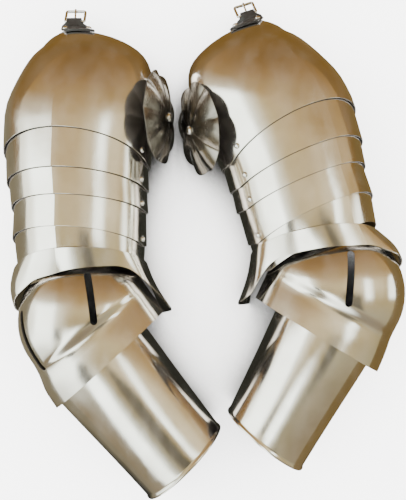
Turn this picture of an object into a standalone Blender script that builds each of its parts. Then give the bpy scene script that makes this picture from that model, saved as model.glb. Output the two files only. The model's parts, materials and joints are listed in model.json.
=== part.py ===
"""A pair of steel arm harnesses, laid side by side on their open inner sides.

Each arm is a shoulder cap, four sliding lames, an upper elbow plate, an elbow cup with a flared rim and
two slots, and a closed tube round the forearm. A fluted disc stands at each armpit on a leather thong,
and a leather tab holds a buckle at each shoulder point. Lengths are in millimetres until a mesh is made.
"""
import math
from bisect import bisect_right

import bpy
import bmesh
from mathutils import Vector

MM = 0.001

# Sheet and clearances
STEEL = 1.4            # wall of every plate
SEAT_GAP = 0.3         # between pieces that touch
LAP_GAP = 0.9          # between a plate and the one that slides under it
LAP = 13.0             # how far a lame runs up under the plate above it
LAP_STRAIGHT = 3.0     # how far below the upper plate's edge a lame starts to open out

# The arch of a plate: the wall below its widest line leans in and ends on the table
WALL_END = 120.0       # degrees from upright at which the wall meets the table
WALL_TUCK = 9.0        # how far the foot of the wall leans in
CREASE_REACH = 32.0    # degrees on each side of the ridge that the crease lifts
CREASE_LIFT = 0.04     # share of the arch's size that it lifts the ridge by
ARCH_STEP = 9.0        # degrees between columns

# Upper arm, from the shoulder point down: the plates' common surface. Each arm's cap starts a little above
# the table's first row, and the lift fades out down to here
CAP_LIFT_END = 110.0
CAP_LIFT_POWER = 0.6
CAP_TIP_REACH = 24.0    # down the arm from the tip, that the tip leans over
UPPER_ARM = (
    ("along", "half_width", "front_shift", "widest", "crown"),
    (0, 22, 1, 12, 40),
    (10, 43, 8, 22, 57),
    (23, 57, 10, 32, 72),
    (37, 68, 10, 38, 85),
    (66, 79, 6, 43, 101),
    (91, 84, 1, 45, 108),
    (122, 84, -2, 45, 110),
    (150, 82, -3, 45, 110),
    (176, 79.5, -2, 45, 109),
    (199, 77, 0, 45, 108),
    (223, 75.5, -1, 45, 107),
    (250, 75, 0, 45, 106),
    (290, 74, 0, 45, 104),
)

# Lower edges of the cap and the first three lames: place on the ridge, and drop at each side
LAP_LINES = (
    ("ridge", "front_drop", "back_drop"),
    (118, 32, 30),
    (159, 18, 21),
    (187, 15, 20),
    (220, 21, 22),
)
CAP_ROWS = (0.0, 0.04, 0.08, 0.13, 0.2, 0.31, 0.46, 0.64, 0.82, 1.0)
LAST_LAME_RIDGE = 252   # the fourth lame ends here, under the upper elbow plate
LAST_LAME_DROP = 22
LAST_LAME_SINK = 4.2    # how far its end lies inside the common surface

# Pivot rivets, one on each side of each overlap, by their angle from the ridge
RIVET_FRONT = (75, 78, 81, 86)
RIVET_BACK = -105.0
RIVET_ABOVE_EDGE = 7.0
RIVET_RADIUS = 3.2
RIVET_HEIGHT = 2.2

# Upper elbow plate: top edge and lower edge by angle, with the lower edge's own place
COLLAR = (
    ("angle", "top", "low", "low_across", "low_height", "bulge"),
    (-120, 281, 320, -73, 0, 0),
    (-105, 279, 319, -75, 22, 2),
    (-90, 276, 316, -75, 45, 4),
    (-75, 269, 309, -74, 62, 4),
    (-60, 262, 298, -68, 78, 3),
    (-45, 254, 288, -56, 86, 2),
    (-30, 248, 277, -40, 94, 1),
    (-15, 244, 271, -20, 100, 0),
    (0, 242, 266, -2, 103, 0),
    (15, 242, 263, 20, 101, 0),
    (30, 243, 262, 38, 95, 0),
    (45, 246, 263, 53, 87, 0),
    (60, 250, 270, 67, 78, 0),
    (75, 255, 293, 90, 63, -2),
    (90, 259, 312, 104, 45, -3),
    (105, 262, 318, 98, 22, -2),
    (120, 264, 322, 90, 0, 0),
)
COLLAR_LIFT = 0.4       # of its top edge over the common surface
COLLAR_SIZE_AT = 262    # down the arm, where its tilt is worked out from the arm's width
WING_ANGLES = (75, 90)  # the wing's change from the table comes in between these
COLLAR_ROWS = (0.0, 0.3, 0.65, 1.0)

# Elbow cup: a dome turned about the upright elbow axis, then a crease and a flared rim
DOME_RADIUS = 75.0
DOME_WIDEST = 45.0
DOME_RISE = 70.0
DOME_POWER = 2.3
CUP_FRONT_ANGLE = 82.0
CUP_COLUMNS = 18
CUP_END_SLANT = 4.0
CUP_FOOT_DROP = 11.0    # how far its top edge falls back at the foot of the wall
CUP_FOOT_FROM = -44.0
CUP_RIM_FULL = 34.0     # from here down the rim has its own width at the back
CUP_RIM = (
    ("along", "back_half", "front_half", "rise"),
    (0, 75, 74, 70),
    (9, 75.5, 73.5, 69),
    (17, 77, 73, 64.5),
    (34, 80, 72, 66.5),
    (58, 82, 71, 68.5),
)
CUP_ROWS = (-67, -57, -44, -30, -15, 0, 9, 17, 34, 52)

# Slots through the cup, each from one point to another, seen from above in the cup's frame
SLOT_WIDTH = 7.4
SLOT_END_SEGMENTS = 6
SLOT_DEPTH = 26.0

# Forearm tube: a closed oval that lies on the table
TUBE = (
    ("along", "half_width", "height"),
    (31, 61.5, 104),
    (60, 60.5, 103),
    (110, 57.5, 99),
    (160, 55, 94),
    (197, 53.5, 91),
)
TUBE_COLUMNS = 28

# Fluted disc at the armpit
DISC_RADIUS = 52.0
DISC_PETALS = 8
DISC_HOLE = 2.6
DISC_DOME = 12.0
DISC_FLUTE = 3.0
DISC_SCALLOP = 0.07
BOSS_RADIUS = 5.0
BOSS_HEIGHT = 3.4
DISC_COLUMNS = 6       # to each petal
DISC_ROWS = (0.05, 0.3, 0.55, 0.8, 1.0)
BOSS_SHANK = 2.2
THONG_WIDTH = 14.0
THONG_THICK = 2.6
THONG_SEAT = 0.4       # short of the cap's wall

# Leather tab and buckle at the shoulder point; the tab straddles the cap's edge and folds round the bar
TAB_HALF_WIDTH = 16.0
TAB_NARROW = 0.5       # share of its width that is left at the fold
TAB_LEATHER = 2.4
TAB_SEAT = 0.5         # between its faces and the cap's curved sheet
TAB_LAP_ROWS = 2       # it runs over and under the cap as far as this row of the cap
TAB_FLAT = 7.0         # how far beyond the shoulder point it has lost the cap's curve
TAB_FOLD = 11.0        # how far beyond the shoulder point it folds
TAB_FOLD_RADIUS = 4.2
TAB_SLOPE = 0.5        # fall for each millimetre beyond the shoulder point
TAB_RIVET = (5.0, 12.5)
BUCKLE_INNER_HALF = 9.6
BUCKLE_LENGTH = 17.0
BUCKLE_WIRE = 1.5
BUCKLE_CORNER = 2.0
PRONG_RADIUS = 1.1

# The two arms: where they lie, which way their front faces, and how far they are rolled and bent
ARMS = (
    {
        "name": "left", "tip": (-140.0, 245.0), "lean": 0.0, "front": 1, "ridge": -9.0,
        "cap_lift": 11.0, "cap_shift": -2.0, "tip_shift": -9.0,
        "collar_tilt": 0.0, "wing_shift": 0.0, "wing_reach": 0.0, "heel_reach": -3.0, "heel_rise": 0.0,
        "elbow": (-132.3, -78.2), "bend_lean": 39.2, "front_spread": 4.0, "dome_back": 0.0, "rim_back": 5.0,
        "tube_shift": -17.0, "tube_add": 2.0, "mouth_add": 0.0, "mouth_slant": 4.0,
        "slots": (((-33, 41.5), (8.7, 19.8)), ((-46, -41), (12, -58))),
        "disc": (-50.2, 149.0, 56.0), "disc_tilt": 76.0, "disc_turn": 0.0,
    },
    {
        "name": "right", "tip": (53.5, 257.2), "lean": 17.0, "front": -1, "ridge": -27.0,
        "cap_lift": 7.0, "cap_shift": 7.0, "tip_shift": -12.0,
        "collar_tilt": 6.0, "wing_shift": -12.0, "wing_reach": 2.0, "heel_reach": 7.5, "heel_rise": 6.0,
        "elbow": (153.0, -49.5), "bend_lean": -28.2, "front_spread": 10.0, "dome_back": -3.0, "rim_back": -4.0,
        "tube_shift": -6.0, "tube_add": -2.5, "mouth_add": -11.0, "mouth_slant": 8.0,
        "slots": (((-40, 21), (6.4, 2)), ((-47, -52), (9, -66))),
        "disc": (-4.0, 136.0, 56.0), "disc_tilt": 66.0, "disc_turn": 12.0,
    },
)

# Colours: base colour, metallic, roughness
FINISHES = {
    "polished_steel": ((0.72, 0.68, 0.60), 1.0, 0.18),
    "dark_steel": ((0.34, 0.32, 0.28), 1.0, 0.30),
    "bright_rivet": ((0.85, 0.84, 0.80), 1.0, 0.15),
    "black_leather": ((0.02, 0.018, 0.016), 0.0, 0.60),
    "chrome": ((0.80, 0.79, 0.77), 1.0, 0.10),
}


def clear_scene():
    """Remove whatever objects the scene holds."""
    for old in list(bpy.data.objects):
        bpy.data.objects.remove(old, do_unlink=True)


def finish(name):
    """Return the material of a finish, made once."""
    known = bpy.data.materials.get(name)
    if known:
        return known
    colour, metallic, roughness = FINISHES[name]
    material = bpy.data.materials.new(name)
    material.use_nodes = True
    shader = material.node_tree.nodes["Principled BSDF"]
    shader.inputs["Base Color"].default_value = (*colour, 1.0)
    shader.inputs["Metallic"].default_value = metallic
    shader.inputs["Roughness"].default_value = roughness
    return material


def read_table(table, column, at):
    """Return a column's value on a smooth curve through the table's rows."""
    rows = table[1:]
    index = table[0].index(column)
    places = [row[0] for row in rows]
    values = [row[index] for row in rows]
    if at <= places[0]:
        return values[0]
    if at >= places[-1]:
        return values[-1]
    low = bisect_right(places, at) - 1
    high = low + 1

    def slope(k):
        before, after = max(k - 1, 0), min(k + 1, len(places) - 1)
        return (values[after] - values[before]) / (places[after] - places[before])

    span = places[high] - places[low]
    part = (at - places[low]) / span
    bend = part * part * (3 - 2 * part)
    rise = slope(low) * part * (1 - part) ** 2 - slope(high) * part * part * (1 - part)
    return values[low] * (1 - bend) + values[high] * bend + span * rise


def place(origin, lean, front, along, across, height):
    """Turn a distance along a limb, a distance to its front and a height into a point."""
    turn = math.radians(lean)
    down = (math.sin(turn), -math.cos(turn))
    side = (front * math.cos(turn), front * math.sin(turn))
    x = origin[0] + down[0] * along + side[0] * across
    y = origin[1] + down[1] * along + side[1] * across
    return Vector((x, y, height))


def wall_below(half_width, widest, angle):
    """Return the place on the wall under the widest line."""
    part = (abs(angle) - 90) / (WALL_END - 90)
    across = math.copysign(half_width - WALL_TUCK * part * part, angle)
    return across, widest * (1 - part)


def arch(half_width, widest, crown, angle, ridge):
    """Return how far across and how high the arch lies at an angle from upright."""
    if abs(angle) > 90:
        return wall_below(half_width, widest, angle)
    turn = math.radians(angle)
    lift = 1 + CREASE_LIFT * max(0.0, 1 - abs(angle - ridge) / CREASE_REACH)
    return half_width * math.sin(turn) * lift, widest + (crown - widest) * math.cos(turn) * lift


def lift_share(arm, along):
    """Return how much of the cap's lift is left at a distance down the arm."""
    return max(0.0, (CAP_LIFT_END - along) / (CAP_LIFT_END + arm["cap_lift"])) ** CAP_LIFT_POWER


def arm_size(arm, column, along):
    """Return a size of this arm's surface from the common table."""
    share = lift_share(arm, along)
    size = read_table(UPPER_ARM, column, along + arm["cap_lift"] * share)
    if column == "front_shift":
        size += arm["cap_shift"] * share
        size += arm["tip_shift"] * max(0.0, 1 - (along + arm["cap_lift"]) / CAP_TIP_REACH)
    return size


def upper_point(arm, along, angle, out=0.0):
    """Return a point of the upper arm's surface, moved outward."""
    half_width = arm_size(arm, "half_width", along) + out
    crown = arm_size(arm, "crown", along) + out
    widest = arm_size(arm, "widest", along)
    across, height = arch(half_width, widest, crown, angle, arm["ridge"])
    across += arm_size(arm, "front_shift", along)
    return place(arm["tip"], arm["lean"], arm["front"], along, across, height)


def edge_along(arm, ridge_place, front_drop, back_drop, angle):
    """Return how far down the arm a plate's edge lies at an angle."""
    turn = min(abs(angle - arm["ridge"]), 90.0)
    drop = front_drop if angle > arm["ridge"] else back_drop
    return ridge_place + drop * (1 - math.cos(math.radians(turn)))


def arch_angles(ridge):
    """Return the columns of an arch, with one of them on the ridge."""
    back_steps = round((90 + ridge) / ARCH_STEP)
    front_steps = round((90 - ridge) / ARCH_STEP)
    angles = [-WALL_END, -(90 + WALL_END) / 2]
    angles += [-90 + (90 + ridge) * k / back_steps for k in range(back_steps)]
    angles += [ridge + (90 - ridge) * k / front_steps for k in range(front_steps + 1)]
    return angles + [(90 + WALL_END) / 2, WALL_END]


def shell(name, outer, inside, material, wall=STEEL, closed=False):
    """Make a sheet of even thickness from a grid of outer points; inside is a point within its hollow."""
    rows, columns = len(outer), len(outer[0])

    def around(j):
        return j % columns if closed else max(0, min(columns - 1, j))

    inner = []
    for i in range(rows):
        line = []
        for j in range(columns):
            across = outer[i][around(j + 1)] - outer[i][around(j - 1)]
            along = outer[min(i + 1, rows - 1)][j] - outer[max(i - 1, 0)][j]
            normal = across.cross(along).normalized()
            if normal.dot(outer[i][j] - inside(i)) > 0:
                normal = -normal
            point = outer[i][j] + normal * wall
            if abs(outer[i][j].z) < 1e-6:
                point.z = 0.0
            line.append(point)
        inner.append(line)
    mesh = bmesh.new()
    skins = [[[mesh.verts.new(point * MM) for point in line] for line in grid] for grid in (outer, inner)]
    steps = range(columns) if closed else range(columns - 1)
    for skin in skins:
        for i in range(rows - 1):
            for j in steps:
                k = around(j + 1)
                mesh.faces.new((skin[i][j], skin[i][k], skin[i + 1][k], skin[i + 1][j]))
    for i in (0, rows - 1):
        for j in steps:
            k = around(j + 1)
            mesh.faces.new((skins[0][i][j], skins[0][i][k], skins[1][i][k], skins[1][i][j]))
    if not closed:
        for j in (0, columns - 1):
            for i in range(rows - 1):
                mesh.faces.new((skins[0][i][j], skins[0][i + 1][j], skins[1][i + 1][j], skins[1][i][j]))
    return add_solid(name, mesh, material)


def add_solid(name, mesh, material):
    """Close a bmesh into a named object with its finish."""
    bmesh.ops.recalc_face_normals(mesh, faces=mesh.faces)
    data = bpy.data.meshes.new(name)
    mesh.to_mesh(data)
    mesh.free()
    data.materials.append(finish(material))
    solid = bpy.data.objects.new(name, data)
    bpy.context.scene.collection.objects.link(solid)
    data.shade_smooth()
    data.set_sharp_from_angle(angle=math.radians(32))
    return solid


def arm_axis(arm, along):
    """Return a point low in the hollow of the upper arm."""
    shift = arm_size(arm, "front_shift", along)
    return place(arm["tip"], arm["lean"], arm["front"], along, shift, 12.0)


def cap_along(arm, part, angle):
    """Return how far down the arm a share of the cap's length lies at an angle."""
    return -arm["cap_lift"] + part * (line_along(arm, 0, angle) + arm["cap_lift"])


def line_along(arm, number, angle):
    """Return where a lap line lies at an angle; the last number is the fourth lame's own end."""
    if number < len(LAP_LINES) - 1:
        ridge_place, front_drop, back_drop = LAP_LINES[number + 1]
    else:
        ridge_place, front_drop, back_drop = LAST_LAME_RIDGE, LAST_LAME_DROP, LAST_LAME_DROP
    return edge_along(arm, ridge_place, front_drop, back_drop, angle)


def build_cap(arm):
    """Make the shoulder cap, from the narrow arch at the shoulder point to the first lap line."""
    angles = arch_angles(arm["ridge"])
    grid = [[upper_point(arm, cap_along(arm, part, angle), angle) for angle in angles] for part in CAP_ROWS]

    def inside(i):
        return arm_axis(arm, cap_along(arm, CAP_ROWS[i], 0))

    return shell(arm["name"] + "_cap", grid, inside, "polished_steel")


def build_lame(arm, number):
    """Make a lame, which starts under the plate above and opens out to its own lower edge."""
    angles = arch_angles(arm["ridge"])
    sink = STEEL + LAP_GAP
    last = number == len(LAP_LINES) - 1
    grid = [[], [], []]
    for angle in angles:
        above = line_along(arm, number - 1, angle)
        end = line_along(arm, number, angle)
        start = above + LAP_STRAIGHT
        slope = 0.0
        if number > 1:
            slope = sink / (above - line_along(arm, number - 2, angle) - LAP_STRAIGHT)
        grid[0].append(upper_point(arm, above - LAP, angle, -sink - slope * LAP))
        grid[1].append(upper_point(arm, start, angle, -sink))
        grid[2].append(upper_point(arm, end, angle, -LAST_LAME_SINK if last else 0.0))
    name = "{}_lame_{}".format(arm["name"], number)
    return shell(name, grid, lambda i: arm_axis(arm, line_along(arm, number, 0)), "polished_steel")


def build_collar(arm):
    """Make the upper elbow plate, from over the fourth lame to its flared wing beside the cup."""
    grid = [[] for part in COLLAR_ROWS]
    for angle in arch_angles(arm["ridge"]):
        half_width = arm_size(arm, "half_width", COLLAR_SIZE_AT)
        tilt = math.tan(math.radians(arm["collar_tilt"]))
        top_along = read_table(COLLAR, "top", angle) - tilt * half_width * math.sin(math.radians(angle))
        top = upper_point(arm, top_along, angle, COLLAR_LIFT)
        wing = max(0.0, min(1.0, (angle - WING_ANGLES[0]) / (WING_ANGLES[1] - WING_ANGLES[0])))
        low_along = read_table(COLLAR, "low", angle) + wing * arm["wing_shift"]
        heel = max(0.0, min(1.0, -angle / 60))
        low_across = read_table(COLLAR, "low_across", angle)
        low_across += wing * arm["wing_reach"] - heel * arm["heel_reach"]
        low_height = read_table(COLLAR, "low_height", angle)
        if abs(angle) < WALL_END:
            low_height += arm["heel_rise"] * math.sin(math.pi * max(0.0, min(1.0, (15 - angle) / 105)))
        low = place(arm["tip"], arm["lean"], arm["front"], low_along, low_across, low_height)
        bulge = read_table(COLLAR, "bulge", angle)
        outward = place((0, 0), arm["lean"], arm["front"], 0, math.sin(math.radians(angle)), 0.0)
        for line, part in zip(grid, COLLAR_ROWS):
            point = top.lerp(low, part) + outward * bulge * math.sin(math.pi * part)
            if abs(angle) == WALL_END:
                point.z = 0.0
            line.append(point)
    return shell(arm["name"] + "_collar", grid, lambda i: arm_axis(arm, 275), "polished_steel")


def dome_reach(along, turn, back_half, front_half, rise):
    """Return how far the cup's outline reaches from its middle in a direction from upright."""
    half = front_half if turn > 0 else back_half
    across, upward = math.sin(turn), math.cos(turn)

    def excess(reach):
        flat = reach * across * DOME_RADIUS / half
        radius = math.hypot(flat, along) if along < 0 else abs(flat)
        return (radius / DOME_RADIUS) ** DOME_POWER + (reach * upward / rise) ** DOME_POWER - 1

    low, high = 0.0, 2 * DOME_RADIUS
    for step in range(40):
        middle = (low + high) / 2
        if excess(middle) > 0:
            high = middle
        else:
            low = middle
    return low


def cup_point(arm, along, angle, out=0.0):
    """Return a point of the elbow cup's surface, moved outward."""
    spread = arm["front_spread"] * max(0.0, min(1.0, (along + 40) / 40))
    rim = max(0.0, min(1.0, along / CUP_RIM_FULL))
    back_half = read_table(CUP_RIM, "back_half", along) + arm["dome_back"] * (1 - rim) + arm["rim_back"] * rim
    front_half = read_table(CUP_RIM, "front_half", along) + spread
    rise = read_table(CUP_RIM, "rise", along)
    turn = math.radians(max(-90.0, angle))
    reach = dome_reach(along, turn, back_half, front_half, rise) + out
    across, height = reach * math.sin(turn), DOME_WIDEST + reach * math.cos(turn)
    if angle < -90:
        full = abs(across)
        across, height = wall_below(full, DOME_WIDEST, angle)
        along += max(0.0, -along) * (full - abs(across)) / DOME_RADIUS
    return place(arm["elbow"], arm["bend_lean"], arm["front"], along, across, height)


def cup_angles():
    """Return the columns of the elbow cup, from the foot of its back wall to its front rim."""
    return [-WALL_END, -(90 + WALL_END) / 2] + [
        -90 + (90 + CUP_FRONT_ANGLE) * k / CUP_COLUMNS for k in range(CUP_COLUMNS + 1)]


def build_cup(arm):
    """Make the elbow cup, with its slots cut through."""
    grid = []
    for row in CUP_ROWS:
        line = []
        for angle in cup_angles():
            share = (row - CUP_ROWS[0]) / (CUP_ROWS[-1] - CUP_ROWS[0])
            slant = -CUP_END_SLANT * share * math.sin(math.radians(max(angle, -90)))
            upper = max(0.0, (row - CUP_FOOT_FROM) / (CUP_ROWS[0] - CUP_FOOT_FROM))
            foot = max(0.0, min(1.0, (-angle - 75) / 30))
            line.append(cup_point(arm, row + slant + CUP_FOOT_DROP * upper * foot, angle))
        grid.append(line)

    def inside(i):
        return place(arm["elbow"], arm["bend_lean"], arm["front"], CUP_ROWS[i] * 0.6, 0, 20)

    cup = shell(arm["name"] + "_cup", grid, inside, "polished_steel")
    for number, (start, end) in enumerate(arm["slots"], 1):
        cutter = slot_cutter(arm, "{}_slot_cutter_{}".format(arm["name"], number), start, end)
        cut = cup.modifiers.new(cutter.name, "BOOLEAN")
        cut.operation = "DIFFERENCE"
        cut.object = cutter
    return cup


def surface_above(arm, along, across):
    """Return the cup's surface point over a place seen from above, by its angle."""
    low, high = -89.0, CUP_FRONT_ANGLE
    middle_of = place(arm["elbow"], arm["bend_lean"], arm["front"], 0, 0, 0)
    side = place(arm["elbow"], arm["bend_lean"], arm["front"], 0, 1, 0) - middle_of
    for step in range(40):
        angle = (low + high) / 2
        if (cup_point(arm, along, angle) - middle_of).dot(side) > across:
            high = angle
        else:
            low = angle
    return cup_point(arm, along, low)


def slot_cutter(arm, name, start, end):
    """Make the round-ended prism that cuts one slot square to the surface at its middle."""
    first, last = surface_above(arm, *start), surface_above(arm, *end)
    halfway = surface_above(arm, (start[0] + end[0]) / 2, (start[1] + end[1]) / 2)
    heart = place(arm["elbow"], arm["bend_lean"], arm["front"], 0, 0, DOME_WIDEST)
    length = (last - first).normalized()
    out = (halfway - heart)
    out = (out - length * out.dot(length)).normalized()
    width = length.cross(out)
    mesh = bmesh.new()
    ring = []
    for k in range(SLOT_END_SEGMENTS + 1):
        turn = math.pi * k / SLOT_END_SEGMENTS
        ring.append(last + width * math.cos(turn) * SLOT_WIDTH / 2 + length * math.sin(turn) * SLOT_WIDTH / 2)
    for k in range(SLOT_END_SEGMENTS + 1):
        turn = math.pi + math.pi * k / SLOT_END_SEGMENTS
        ring.append(first + width * math.cos(turn) * SLOT_WIDTH / 2 + length * math.sin(turn) * SLOT_WIDTH / 2)
    tops = [mesh.verts.new((point + out * SLOT_DEPTH) * MM) for point in ring]
    feet = [mesh.verts.new((point - out * SLOT_DEPTH) * MM) for point in ring]
    mesh.faces.new(tops)
    mesh.faces.new(feet)
    for k in range(len(ring)):
        after = (k + 1) % len(ring)
        mesh.faces.new((tops[k], tops[after], feet[after], feet[k]))
    cutter = add_solid(name, mesh, "black_leather")
    cutter.hide_render = True
    cutter.display_type = "WIRE"
    return cutter


def build_tube(arm):
    """Make the forearm tube, an oval that tapers to the wrist, flat along the line it rests on."""
    grid = []
    for row in TUBE[1:]:
        along, half_width, tall = row
        part = (along - TUBE[1][0]) / (TUBE[-1][0] - TUBE[1][0])
        line = []
        for k in range(TUBE_COLUMNS):
            turn = 2 * math.pi * (k + 0.5) / TUBE_COLUMNS
            foot = math.cos(math.pi / TUBE_COLUMNS)
            height = max(0.0, (tall / 2) * (1 - math.cos(turn) / foot))
            across = arm["tube_shift"] + (half_width + arm["tube_add"]) * math.sin(turn)
            down = along + part * (arm["mouth_add"] - arm["mouth_slant"] * math.sin(turn))
            line.append(place(arm["elbow"], arm["bend_lean"], arm["front"], down, across, height))
        grid.append(line)

    def inside(i):
        row = TUBE[1 + i]
        return place(arm["elbow"], arm["bend_lean"], arm["front"], row[0], arm["tube_shift"], row[2] / 2)

    return shell(arm["name"] + "_vambrace", grid, inside, "polished_steel", closed=True)


def turned(name, profile, start, axis, material, columns=12):
    """Turn a profile of (radius, distance) points about an axis into a closed solid."""
    direction = Vector(axis).normalized()
    side = direction.orthogonal().normalized()
    up = direction.cross(side)
    mesh = bmesh.new()
    rings = []
    for radius, distance in profile:
        middle = start + direction * distance
        if radius < 1e-6:
            rings.append([mesh.verts.new(middle * MM)])
            continue
        ring = []
        for k in range(columns):
            turn = 2 * math.pi * k / columns
            spoke = side * math.cos(turn) + up * math.sin(turn)
            ring.append(mesh.verts.new((middle + spoke * radius) * MM))
        rings.append(ring)
    for first, second in zip(rings, rings[1:]):
        for k in range(columns):
            after = (k + 1) % columns
            corners = [first[k % len(first)], first[after % len(first)]]
            corners += [second[after % len(second)], second[k % len(second)]]
            mesh.faces.new(list(dict.fromkeys(corners)))
    return add_solid(name, mesh, material)


def outward_at(arm, along, angle):
    """Return the surface's outward direction on the upper arm."""
    span = 2.0
    down = upper_point(arm, along + span, angle) - upper_point(arm, along - span, angle)
    across = upper_point(arm, along, angle + span) - upper_point(arm, along, angle - span)
    normal = down.cross(across).normalized()
    away = upper_point(arm, along, angle) - arm_axis(arm, along)
    return normal if normal.dot(away) > 0 else -normal


def above_edge(arm, number, angle):
    """Return the point on a plate just above its lower edge, and the way the plate runs there."""
    edge = line_along(arm, number, angle)
    start, sink = cap_along(arm, CAP_ROWS[-2], angle), 0.0
    if number > 0:
        start, sink = line_along(arm, number - 1, angle) + LAP_STRAIGHT, STEEL + LAP_GAP
    high = upper_point(arm, start, angle, -sink)
    low = upper_point(arm, edge, angle)
    return low.lerp(high, RIVET_ABOVE_EDGE / (edge - start)), low - high


def build_rivets(arm):
    """Make the heads of the two pivot rivets of each overlap."""
    span = 2.0
    for number, offset in enumerate(RIVET_FRONT):
        for side, angle in (("front", arm["ridge"] + offset), ("back", RIVET_BACK)):
            seat, down = above_edge(arm, number, angle)
            across = above_edge(arm, number, angle + span)[0] - above_edge(arm, number, angle - span)[0]
            out = down.cross(across).normalized()
            if out.dot(outward_at(arm, line_along(arm, number, angle), angle)) < 0:
                out = -out
            profile = [(0, 0), (RIVET_RADIUS, 0), (RIVET_RADIUS * 0.8, RIVET_HEIGHT * 0.65), (0, RIVET_HEIGHT)]
            name = "{}_{}_rivet_{}".format(arm["name"], side, number + 1)
            turned(name, profile, seat + out * SEAT_GAP, out, "bright_rivet", 10)


def disc_frame(arm):
    """Return the disc's centre, the way it faces, and its two in-plane directions."""
    tilt, turn = math.radians(arm["disc_tilt"]), math.radians(arm["disc_turn"])
    level_share = arm["front"] * math.sin(tilt)
    facing = Vector((level_share * math.cos(turn), level_share * math.sin(turn), math.cos(tilt)))
    upright = Vector((-math.sin(turn), math.cos(turn), 0))
    return Vector(arm["disc"]), facing, upright, upright.cross(facing)


def disc_point(arm, share, turn):
    """Return a point of the fluted disc's face at a share of its radius."""
    centre, facing, upright, level = disc_frame(arm)
    petal = abs(math.sin(turn * DISC_PETALS / 2))
    radius = share * DISC_RADIUS * (1 - share * DISC_SCALLOP * (1 - petal))
    height = DISC_DOME * (1 - share * share) + DISC_FLUTE * share * petal
    return centre + upright * radius * math.cos(turn) + level * radius * math.sin(turn) + facing * height


def build_disc(arm):
    """Make the fluted disc that guards the armpit."""
    count = DISC_PETALS * DISC_COLUMNS
    grid = [[disc_point(arm, share, 2 * math.pi * k / count) for k in range(count)] for share in DISC_ROWS]
    centre, facing, upright, level = disc_frame(arm)
    behind = centre - facing * DISC_RADIUS
    return shell(arm["name"] + "_disc", grid, lambda i: behind, "dark_steel", closed=True)


def build_boss(arm):
    """Make the rivet through the middle of the disc."""
    centre, facing, upright, level = disc_frame(arm)
    start = centre + facing * (DISC_DOME - STEEL)
    seat = STEEL + SEAT_GAP + DISC_FLUTE * BOSS_RADIUS / DISC_RADIUS
    profile = [(0, 0), (BOSS_SHANK, 0), (BOSS_SHANK, seat), (BOSS_RADIUS, seat)]
    profile += [(BOSS_RADIUS * 0.8, seat + BOSS_HEIGHT * 0.6), (0, seat + BOSS_HEIGHT)]
    return turned(arm["name"] + "_disc_boss", profile, start, facing, "bright_rivet")


def inside_cap(arm, point):
    """Tell whether a point is within the upper arm's surface."""
    turn = math.radians(arm["lean"])
    x, y = point.x - arm["tip"][0], point.y - arm["tip"][1]
    along = x * math.sin(turn) - y * math.cos(turn)
    across = arm["front"] * (x * math.cos(turn) + y * math.sin(turn))
    across -= arm_size(arm, "front_shift", along)
    widest = arm_size(arm, "widest", along)
    rise = arm_size(arm, "crown", along) - widest
    half_width = arm_size(arm, "half_width", along)
    return (across / half_width) ** 2 + (max(0.0, point.z - widest) / rise) ** 2 < 1


def build_thong(arm):
    """Make the leather thong that carries the disc off the cap's front wall."""
    centre, facing, upright, level = disc_frame(arm)
    under = DISC_DOME * (1 - DISC_ROWS[1] ** 2 / 2) - STEEL - SEAT_GAP
    mesh = bmesh.new()
    fronts, backs = [], []
    for a, b in ((-1, -1), (1, -1), (1, 1), (-1, 1)):
        corner = centre + upright * a * THONG_WIDTH / 2 + level * b * THONG_THICK / 2
        low, high = 0.0, DISC_RADIUS
        for step in range(40):
            middle = (low + high) / 2
            if inside_cap(arm, corner - facing * middle):
                high = middle
            else:
                low = middle
        fronts.append(mesh.verts.new((corner + facing * under) * MM))
        backs.append(mesh.verts.new((corner - facing * (low - THONG_SEAT)) * MM))
    mesh.faces.new(fronts)
    mesh.faces.new(backs)
    for k in range(4):
        after = (k + 1) % 4
        mesh.faces.new((fronts[k], fronts[after], backs[after], backs[k]))
    return add_solid(arm["name"] + "_disc_thong", mesh, "black_leather")


def tab_directions(arm):
    """Return the tab's run beyond the shoulder point, the way its face looks, and its side direction."""
    origin = place((0, 0), arm["lean"], arm["front"], 0, 0, 0)
    down = place((0, 0), arm["lean"], arm["front"], 1, 0, 0) - origin
    side = place((0, 0), arm["lean"], arm["front"], 0, 1, 0) - origin
    run = (-down - Vector((0, 0, TAB_SLOPE))).normalized()
    face = (Vector((0, 0, 1)) - down * TAB_SLOPE).normalized()
    return run, face, side


def tab_base(arm, along, across):
    """Return the tab's middle layer at a place, and the way its face looks there."""
    run, face, side = tab_directions(arm)
    part = max(along, 0.0) / LAP_LINES[1][0]
    half_width = arm_size(arm, "half_width", cap_along(arm, part, 0))
    angle = math.degrees(math.asin(across / half_width))
    on_cap = cap_along(arm, part, angle)
    seat = upper_point(arm, on_cap, angle, -STEEL / 2)
    out = outward_at(arm, max(on_cap, 3.0 - arm["cap_lift"]), angle)
    if along >= 0:
        return seat, out
    part = min(1.0, -along / TAB_FLAT)
    crown = upper_point(arm, -arm["cap_lift"], 0.0, -STEEL / 2)
    fall = run / abs(run.z) * TAB_SLOPE * -along
    flat = crown + side * across * (1 - part * (1 - TAB_NARROW)) + fall
    return (seat + fall).lerp(flat, part), out.lerp(face, part).normalized()


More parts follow.
